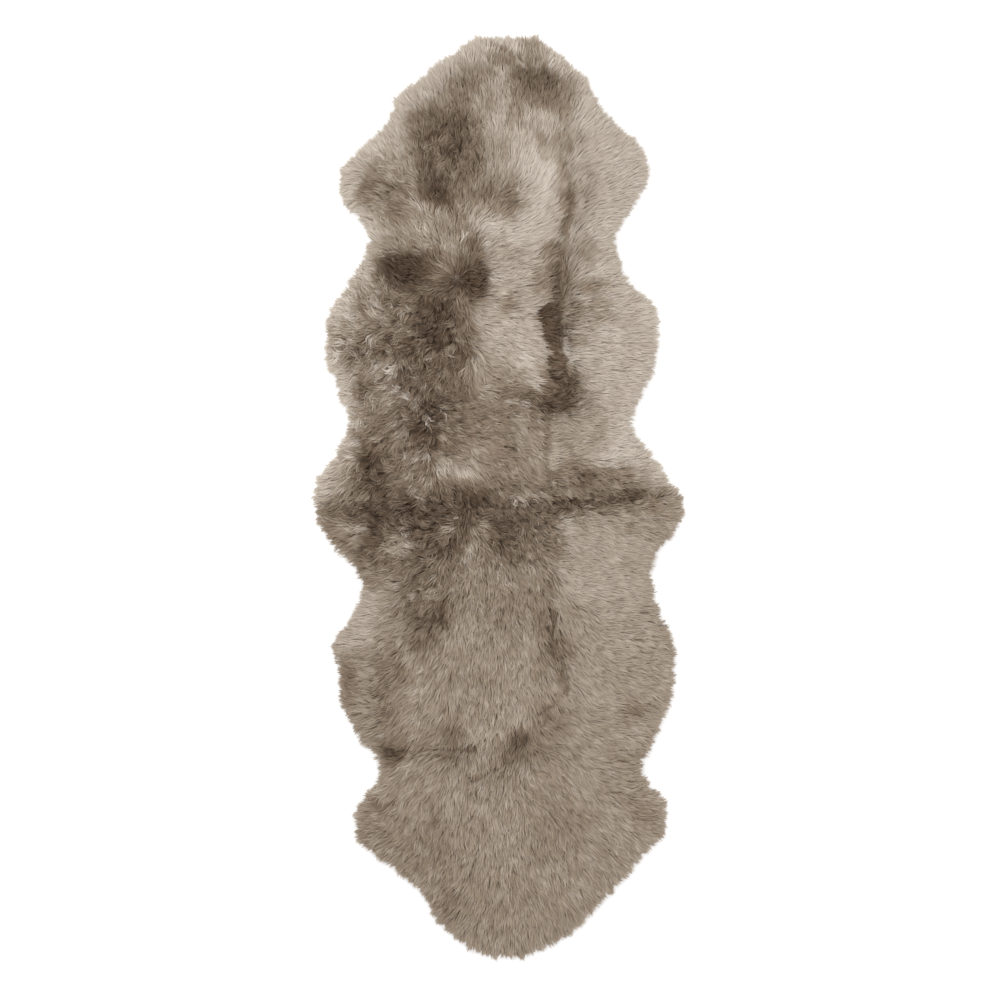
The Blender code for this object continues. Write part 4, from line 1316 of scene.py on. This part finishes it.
def wool_tree():
    """Locks of wool, scattered over a carrier and bent the way its attributes say."""
    recipe, given = new_tree("grow_wool", (
        ("Locks per square metre", "NodeSocketFloat"),
        ("Lock width", "NodeSocketFloat"),
        ("Staple size", "NodeSocketFloat"),
        ("Stray reach", "NodeSocketFloat"),
        ("Seed", "NodeSocketInt"),
        ("Material", "NodeSocketMaterial"),
    ))
    scattered = {
        "Mesh": given["Geometry"],
        "Density": given["Locks per square metre"],
        "Seed": given["Seed"],
    }
    scattered = recipe.node("GeometryNodeDistributePointsOnFaces", values=scattered)
    locks, up = [Term(recipe, scattered.outputs[name]) for name in ("Points", "Normal")]
    vectors, numbers = lock_habits(recipe, given, up)
    for name, value in vectors.items():
        locks = recipe.store(locks, name, value, "FLOAT_VECTOR")
    for name, value in numbers.items():
        locks = recipe.store(locks, name, value)
    instances = {"Points": locks, "Instance": lock_template(recipe)}
    wool = recipe.term("GeometryNodeInstanceOnPoints", values=instances)
    wool = recipe.term("GeometryNodeRealizeInstances", values={"Geometry": wool})
    placed, chart = lock_form(recipe, vectors, numbers)
    wool = recipe.term("GeometryNodeSetPosition", values={"Geometry": wool, "Position": placed})
    wool = recipe.store(wool, "OFBake", chart, "FLOAT2", "CORNER")
    end_tree(recipe, wool, given["Material"])
    return recipe.tree


def stitch_tree():
    """Whip stitches along a seam line: each an arc of thread that dips out of the skins and back."""
    recipe, given = new_tree("whip_stitches", (
        ("Stitch spacing", "NodeSocketFloat"),
        ("Stitch reach", "NodeSocketFloat"),
        ("Stitch slant", "NodeSocketFloat"),
        ("Thread size", "NodeSocketFloat"),
        ("Seed", "NodeSocketInt"),
        ("Material", "NodeSocketMaterial"),
    ))
    reach, slant, thread = [given["Stitch reach"], given["Stitch slant"], given["Thread size"]]
    ends = {
        "Start": recipe.join(slant * -1, reach * -1, thread),
        "Middle": recipe.join(0.0, 0.0, thread * -1.2),
        "End": recipe.join(slant, reach, thread),
        "Resolution": STITCH_STEPS,
    }
    arc = recipe.term("GeometryNodeCurveQuadraticBezier", values=ends)
    ring = {"Resolution": STITCH_SIDES, "Radius": thread * 0.5}
    ring = recipe.term("GeometryNodeCurvePrimitiveCircle", values=ring)
    swept = {"Curve": arc, "Profile Curve": ring, "Fill Caps": True}
    stitch = recipe.term("GeometryNodeCurveToMesh", values=swept)

    spots = {"Curve": given["Geometry"], "Length": given["Stitch spacing"]}
    spots = recipe.node("GeometryNodeCurveToPoints", {"mode": "LENGTH"}, spots).outputs
    points, tangent = Term(recipe, spots["Points"]), Term(recipe, spots["Tangent"])
    along = recipe.term("FunctionNodeAlignRotationToVector", {"axis": "X"}, {"Vector": tangent})
    strayed = {0: tuple(-size for size in STITCH_STRAY), 1: STITCH_STRAY, "Seed": given["Seed"]}
    strayed = recipe.term("FunctionNodeRandomValue", {"data_type": "FLOAT_VECTOR"}, strayed)
    moved = recipe.term("GeometryNodeSetPosition", values={"Geometry": points, "Offset": strayed})
    placed = {"Points": moved, "Instance": stitch, "Rotation": along}
    sewn = recipe.term("GeometryNodeInstanceOnPoints", values=placed)
    end_tree(recipe, sewn, given["Material"])
    return recipe.tree


# ---------------------------------------------------------------------------------------------
# Pieces
# ---------------------------------------------------------------------------------------------
def slab(name, plan, lower, upper, material):
    """A closed slab over a grid of places, with its lower and upper heights given point by point."""
    rows, columns = plan.shape[:2]
    flat = plan.reshape(-1, 2)
    count = len(flat)
    top = np.column_stack([flat, np.broadcast_to(upper, count)])
    bottom = np.column_stack([flat, np.broadcast_to(lower, count)])
    index = np.arange(count).reshape(rows, columns)
    faces = []
    for r in range(rows - 1):
        for c in range(columns - 1):
            a, b, d, e = index[r, c], index[r + 1, c], index[r + 1, c + 1], index[r, c + 1]
            faces.append((a, b, d, e))
            faces.append((e + count, d + count, b + count, a + count))
    ring = [*index[:, 0], *index[-1, 1:], *index[-2::-1, -1], *index[0, -2:0:-1]]
    for a, b in zip(ring, ring[1:] + ring[:1]):
        faces.append((a, a + count, b + count, b))
    mesh = bpy.data.meshes.new(name)
    mesh.from_pydata(np.concatenate([top, bottom]).tolist(), [], [list(map(int, f)) for f in faces])
    mesh.shade_smooth()
    mesh.set_sharp_from_angle(angle=math.radians(50))
    mesh.materials.append(material)
    piece = bpy.data.objects.new(name, mesh)
    bpy.context.scene.collection.objects.link(piece)
    return piece


def belongs(piece, node):
    """Makes a piece of the rug ride with it and stand for its pelt's solid."""
    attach(piece, "root")
    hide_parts(node)


def short_name(node):
    return node.removeprefix("pelt_")


PREPARED = {}


def prepared_pelts(settings):
    """Both pelts' carriers, worked out once."""
    if not PREPARED:
        outline = rug_outline()
        for node in PELTS:
            PREPARED[node] = Pelt(node, outline, settings.shape, settings.wool.length)
    return PREPARED


def lay_undercoat(settings):
    shape = settings.shape
    material = undercoat_finish(settings.wool)
    for node, pelt in prepared_pelts(settings).items():
        rows = np.arange(0, pelt.size[0], 4)
        columns = np.arange(0, pelt.size[1], 3)
        places = pelt.plan.reshape(*pelt.size, 2)[np.ix_(rows, columns)]
        heights = pelt.height.reshape(pelt.size)[np.ix_(rows, columns)].ravel()
        name = short_name(node) + "_undercoat"
        piece = slab(name, places, shape.skin_thickness, heights, material)
        tones = np.tile(pelt.tone.reshape(pelt.size)[np.ix_(rows, columns)].ravel(), 2)
        layer = piece.data.attributes.new("tone", "FLOAT", "POINT")
        layer.data.foreach_set("value", tones.astype(np.float32))
        belongs(piece, node)


def grow_fleece(settings):
    shape, wool = settings.shape, settings.wool
    material = wool_finish(wool)
    tree = wool_tree()
    for number, (node, pelt) in enumerate(prepared_pelts(settings).items()):
        cuts = [0, *(round(pelt.size[1] * share) for share in BAND_CUTS), pelt.size[1] - 1]
        for band, (side, first, last) in enumerate(zip(BANDS, cuts, cuts[1:])):
            name = f"{short_name(node)}_wool_{side}"
            piece = grown(
                carrier(name + "_carrier", pelt, first, last, wool),
                tree,
                name,
                locks_per_square_metre=wool.density,
                lock_width=wool.width,
                staple_size=wool.staple,
                stray_reach=wool.stray,
                seed=wool.seed + number * len(BANDS) + band,
                material=material,
            )
            mesh = piece.data
            for key in [a.name for a in mesh.attributes]:
                if key not in ("position", "OFBake") and not key.startswith((".", "material")):
                    mesh.attributes.remove(mesh.attributes[key])
            mesh.shade_smooth()
            belongs(piece, node)


def lay_skins(settings):
    shape = settings.shape
    material = suede_finish(settings.skin)
    outline = rug_outline()
    close_rows = (0.985, 0.989, 0.992, 0.995, 0.9975, 1.0)    # crowd where the edge is raised
    for node in PELTS:
        rows = np.concatenate([np.linspace(0, 0.975, 56), close_rows])
        if node == "pelt_tail":
            rows = 1 - rows[::-1]
        plan = rows_and_columns(node, rows, 34)
        flat = plan.reshape(-1, 2)
        distance, way_out = rim_of(flat, outline)
        tuck = shape.wool_overhang * SKIN_TUCK * (1 - np.clip(distance / shape.rim_width, 0, 1)) ** 2
        plan = (flat - way_out * tuck[:, None]).reshape(plan.shape)
        name = short_name(node) + "_skin"
        raised = SEAM_LIFT * parting_weight(flat, *seam_ends(node), SEAM_REACH)
        skin = slab(name, plan, raised, raised + shape.skin_thickness, material)
        belongs(skin, node)
        low, high = plan.reshape(-1, 2).min(0), plan.reshape(-1, 2).max(0)
        size = [float(x) for x in high - low]
        own_wool = [o for o in bpy.data.objects if o.name.startswith(short_name(node) + "_wool_")]
        own_wool.append(bpy.data.objects[short_name(node) + "_undercoat"])


def sew_seam(settings):
    """Whip stitches on the flesh side, which hold the two pelts together."""
    sewing = settings.skin
    left, right = [Vector((*end, sewing.thread_size)) for end in seam_ends()]
    inwards = (right - left).normalized() * sewing.stitch_margin
    line = bpy.data.curves.new("seam_line", "CURVE")
    line.dimensions = "3D"
    spline = line.splines.new("POLY")
    spline.points.add(1)
    for point, spot in zip(spline.points, (left + inwards, right - inwards)):
        point.co = (*spot, 1.0)
    carrying = bpy.data.objects.new("seam_line", line)
    bpy.context.scene.collection.objects.link(carrying)
    piece = grown(
        carrying,
        stitch_tree(),
        "seam_stitches",
        stitch_spacing=sewing.stitch_spacing,
        stitch_reach=sewing.stitch_reach,
        stitch_slant=sewing.stitch_slant,
        thread_size=sewing.thread_size,
        seed=settings.wool.seed,
        material=thread_finish(sewing),
    )
    piece.data.shade_smooth()
    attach(piece, "root")


def light_stage(settings):
    stage = settings.stage
    bpy.ops.mesh.primitive_plane_add(size=stage.floor_size, location=(0, 0, -0.001))
    floor = bpy.context.object
    floor.name = "studio_floor"
    material = bpy.data.materials.new("studio_white")
    recipe = FinishRecipe(material)
    recipe.finish({
        "Base Color": rgba(stage.floor_colour),
        "Roughness": 0.9,
        "Emission Color": (1.0, 1.0, 1.0, 1.0),
        "Emission Strength": 0.3,
    })
    floor.data.materials.append(material)

    scene = bpy.context.scene
    scene.view_settings.view_transform = "Standard"
    world = bpy.data.worlds.new("studio_air")
    world.use_nodes = True
    background = world.node_tree.nodes["Background"]
    background.inputs["Color"].default_value = (1.0, 1.0, 1.0, 1.0)
    background.inputs["Strength"].default_value = stage.air
    scene.world = world
    lamps = (
        ("key_lamp", (-0.9, 1.2, 3.6), 3.0, stage.key),
        ("fill_lamp", (1.4, -1.0, 3.6), 3.0, stage.fill),
    )
    for name, spot, size, power in lamps:
        lamp = bpy.data.lights.new(name, "AREA")
        lamp.shape, lamp.size, lamp.energy = "SQUARE", size, power
        holder = bpy.data.objects.new(name, lamp)
        holder.location = spot
        holder.rotation_euler = (-Vector(spot)).to_track_quat("-Z", "Y").to_euler()
        scene.collection.objects.link(holder)

    camera = bpy.data.cameras.new("overhead_camera")
    camera.sensor_width, camera.lens = 36.0, 100.0
    distance = stage.field / 2 / (camera.sensor_width / 2 / camera.lens)
    camera.clip_end = 50.0
    holder = bpy.data.objects.new("overhead_camera", camera)
    holder.location = (0.002, -0.005, distance + 0.03)
    scene.collection.objects.link(holder)
    scene.camera = holder


# ---------------------------------------------------------------------------------------------
# The add-on
# ---------------------------------------------------------------------------------------------
class RUG_PG_shape(bpy.types.PropertyGroup):
    """Sizes of the pelts under the wool."""
    undercoat_share: FloatProperty(
        name="Undercoat height", description="Share of the fleece's height that is dense undercoat",
        default=0.6, min=0.1, max=0.9)
    wool_overhang: FloatProperty(
        name="Wool overhang", description="How far the wool reaches past the edge of the skin",
        default=0.011, unit="LENGTH")
    rim_width: FloatProperty(
        name="Rim width", description="How far in from the edge the overhang is felt",
        default=0.06, unit="LENGTH")
    skin_thickness: FloatProperty(
        name="Skin thickness", description="Thickness of the tanned skin",
        default=0.0022, unit="LENGTH")


class RUG_PG_wool(bpy.types.PropertyGroup):
    """The locks of the fleece."""
    density: FloatProperty(
        name="Locks per square metre", description="How many locks grow on a square metre",
        default=172000.0, min=100.0)
    length: FloatProperty(
        name="Lock length", description="Length of a lock where the wool lies down",
        default=0.036, unit="LENGTH")
    width: FloatProperty(
        name="Lock width", description="Width of the widest locks",
        default=0.0032, unit="LENGTH")
    staple: FloatProperty(
        name="Staple size", description="Width of a bunch of locks that share their tips",
        default=0.010, unit="LENGTH")
    stray: FloatProperty(
        name="Stray reach", description="How far the longest strays reach past the outline",
        default=0.009, unit="LENGTH")
    seed: IntProperty(name="Seed", description="Start of the scatter", default=5)
    # Pale, middling and dark wool: the tone picks among them, so the darker colours also stand for
    # painted shade.
    light: FloatVectorProperty(
        name="Pale wool", description="The palest wool", subtype="COLOR",
        size=3, default=(0.72, 0.65, 0.565))
    middle: FloatVectorProperty(
        name="Middling wool", description="Wool halfway between", subtype="COLOR",
        size=3, default=(0.36, 0.276, 0.200))
    dark: FloatVectorProperty(
        name="Dark wool", description="The darkest wool", subtype="COLOR",
        size=3, default=(0.135, 0.086, 0.053))
    root_stain: FloatVectorProperty(
        name="Root stain", description="What the roots' colour is multiplied by", subtype="COLOR",
        size=3, default=(0.72, 0.64, 0.56))


class RUG_PG_skin(bpy.types.PropertyGroup):
    """The tanned skins and their sewing."""
    colour: FloatVectorProperty(
        name="Suede", description="Colour of the flesh side", subtype="COLOR",
        size=3, default=(0.62, 0.50, 0.37))
    # The suede's darker clouds; the thread's twist also uses this colour as painted shade between its
    # plies.
    shadow: FloatVectorProperty(
        name="Suede shadow", description="Colour of its darker clouds", subtype="COLOR",
        size=3, default=(0.50, 0.385, 0.27))
    thread: FloatVectorProperty(
        name="Thread", description="Colour of the sewing thread", subtype="COLOR",
        size=3, default=(0.72, 0.64, 0.50))
    thread_size: FloatProperty(
        name="Thread size", description="Thickness of the sewing thread",
        default=0.0008, unit="LENGTH")
    stitch_spacing: FloatProperty(
        name="Stitch spacing", description="Distance from one stitch to the next",
        default=0.006, unit="LENGTH")
    stitch_reach: FloatProperty(
        name="Stitch reach", description="How far a stitch reaches on each side of the seam",
        default=0.004, unit="LENGTH")
    stitch_slant: FloatProperty(
        name="Stitch slant", description="How far a stitch leans along the seam",
        default=0.0013, unit="LENGTH")
    stitch_margin: FloatProperty(
        name="Stitch margin", description="How far from the sides the sewing ends",
        default=0.022, unit="LENGTH")


class RUG_PG_stage(bpy.types.PropertyGroup):
    """Floor, light and camera."""
    floor_size: FloatProperty(
        name="Floor size", description="Side of the floor", default=24.0, unit="LENGTH")
    floor_colour: FloatVectorProperty(
        name="Floor colour", description="Colour of the floor", subtype="COLOR",
        size=3, default=(0.93, 0.93, 0.93))
    air: FloatProperty(
        name="Air light", description="Light from all round", default=0.74)
    key: FloatProperty(
        name="Key lamp", description="Power of the key lamp", default=58.0, unit="POWER")
    fill: FloatProperty(
        name="Fill lamp", description="Power of the fill lamp", default=24.0, unit="POWER")
    field: FloatProperty(
        name="Camera field", description="Width of floor that the camera sees",
        default=1.95, unit="LENGTH")


class RUG_PG_settings(bpy.types.PropertyGroup):
    """Everything that a user of the rug would change."""
    shape: PointerProperty(type=RUG_PG_shape)
    wool: PointerProperty(type=RUG_PG_wool)
    skin: PointerProperty(type=RUG_PG_skin)
    stage: PointerProperty(type=RUG_PG_stage)


class RUG_OT_undercoat(bpy.types.Operator):
    """Lay the dense undercoat of both pelts"""
    bl_idname = "rug.lay_undercoat"
    bl_label = "Lay Undercoat"

    def execute(self, context):
        lay_undercoat(context.scene.sheepskin_rug)
        return {"FINISHED"}


class RUG_OT_fleece(bpy.types.Operator):
    """Grow the long wool of both pelts"""
    bl_idname = "rug.grow_fleece"
    bl_label = "Grow Fleece"

    def execute(self, context):
        grow_fleece(context.scene.sheepskin_rug)
        return {"FINISHED"}


class RUG_OT_skins(bpy.types.Operator):
    """Lay the tanned skins under the wool"""
    bl_idname = "rug.lay_skins"
    bl_label = "Lay Skins"

    def execute(self, context):
        lay_skins(context.scene.sheepskin_rug)
        return {"FINISHED"}


class RUG_OT_stitches(bpy.types.Operator):
    """Sew the pelts together with whip stitches"""
    bl_idname = "rug.sew_seam"
    bl_label = "Sew Seam"

    def execute(self, context):
        sew_seam(context.scene.sheepskin_rug)
        return {"FINISHED"}


class RUG_OT_stage(bpy.types.Operator):
    """Set the floor, the lamps and the overhead camera"""
    bl_idname = "rug.light_stage"
    bl_label = "Light Stage"

    def execute(self, context):
        light_stage(context.scene.sheepskin_rug)
        return {"FINISHED"}


class RUG_PT_panel(bpy.types.Panel):
    """The rug's sizes, colours and steps"""
    bl_label = "Sheepskin Rug"
    bl_idname = "RUG_PT_panel"
    bl_space_type = "VIEW_3D"
    bl_region_type = "UI"
    bl_category = "Rug"

    def draw(self, context):
        settings = context.scene.sheepskin_rug
        for group in (settings.shape, settings.wool, settings.skin, settings.stage):
            box = self.layout.box()
            for key in group.bl_rna.properties.keys():
                if key not in ("rna_type", "name"):
                    box.prop(group, key)
        for step in STEPS:
            self.layout.operator(step.bl_idname)


GROUPS = (RUG_PG_shape, RUG_PG_wool, RUG_PG_skin, RUG_PG_stage, RUG_PG_settings)
STEPS = (RUG_OT_undercoat, RUG_OT_fleece, RUG_OT_skins, RUG_OT_stitches, RUG_OT_stage)


def register():
    for each in (*GROUPS, *STEPS, RUG_PT_panel):
        bpy.utils.register_class(each)
    bpy.types.Scene.sheepskin_rug = PointerProperty(type=RUG_PG_settings)


def unregister():
    del bpy.types.Scene.sheepskin_rug
    for each in reversed((*GROUPS, *STEPS, RUG_PT_panel)):
        bpy.utils.unregister_class(each)


def main():
    register()
    for step in STEPS:
        family, name = step.bl_idname.split(".")
        getattr(getattr(bpy.ops, family), name)()


if __name__ == "__main__":
    main()
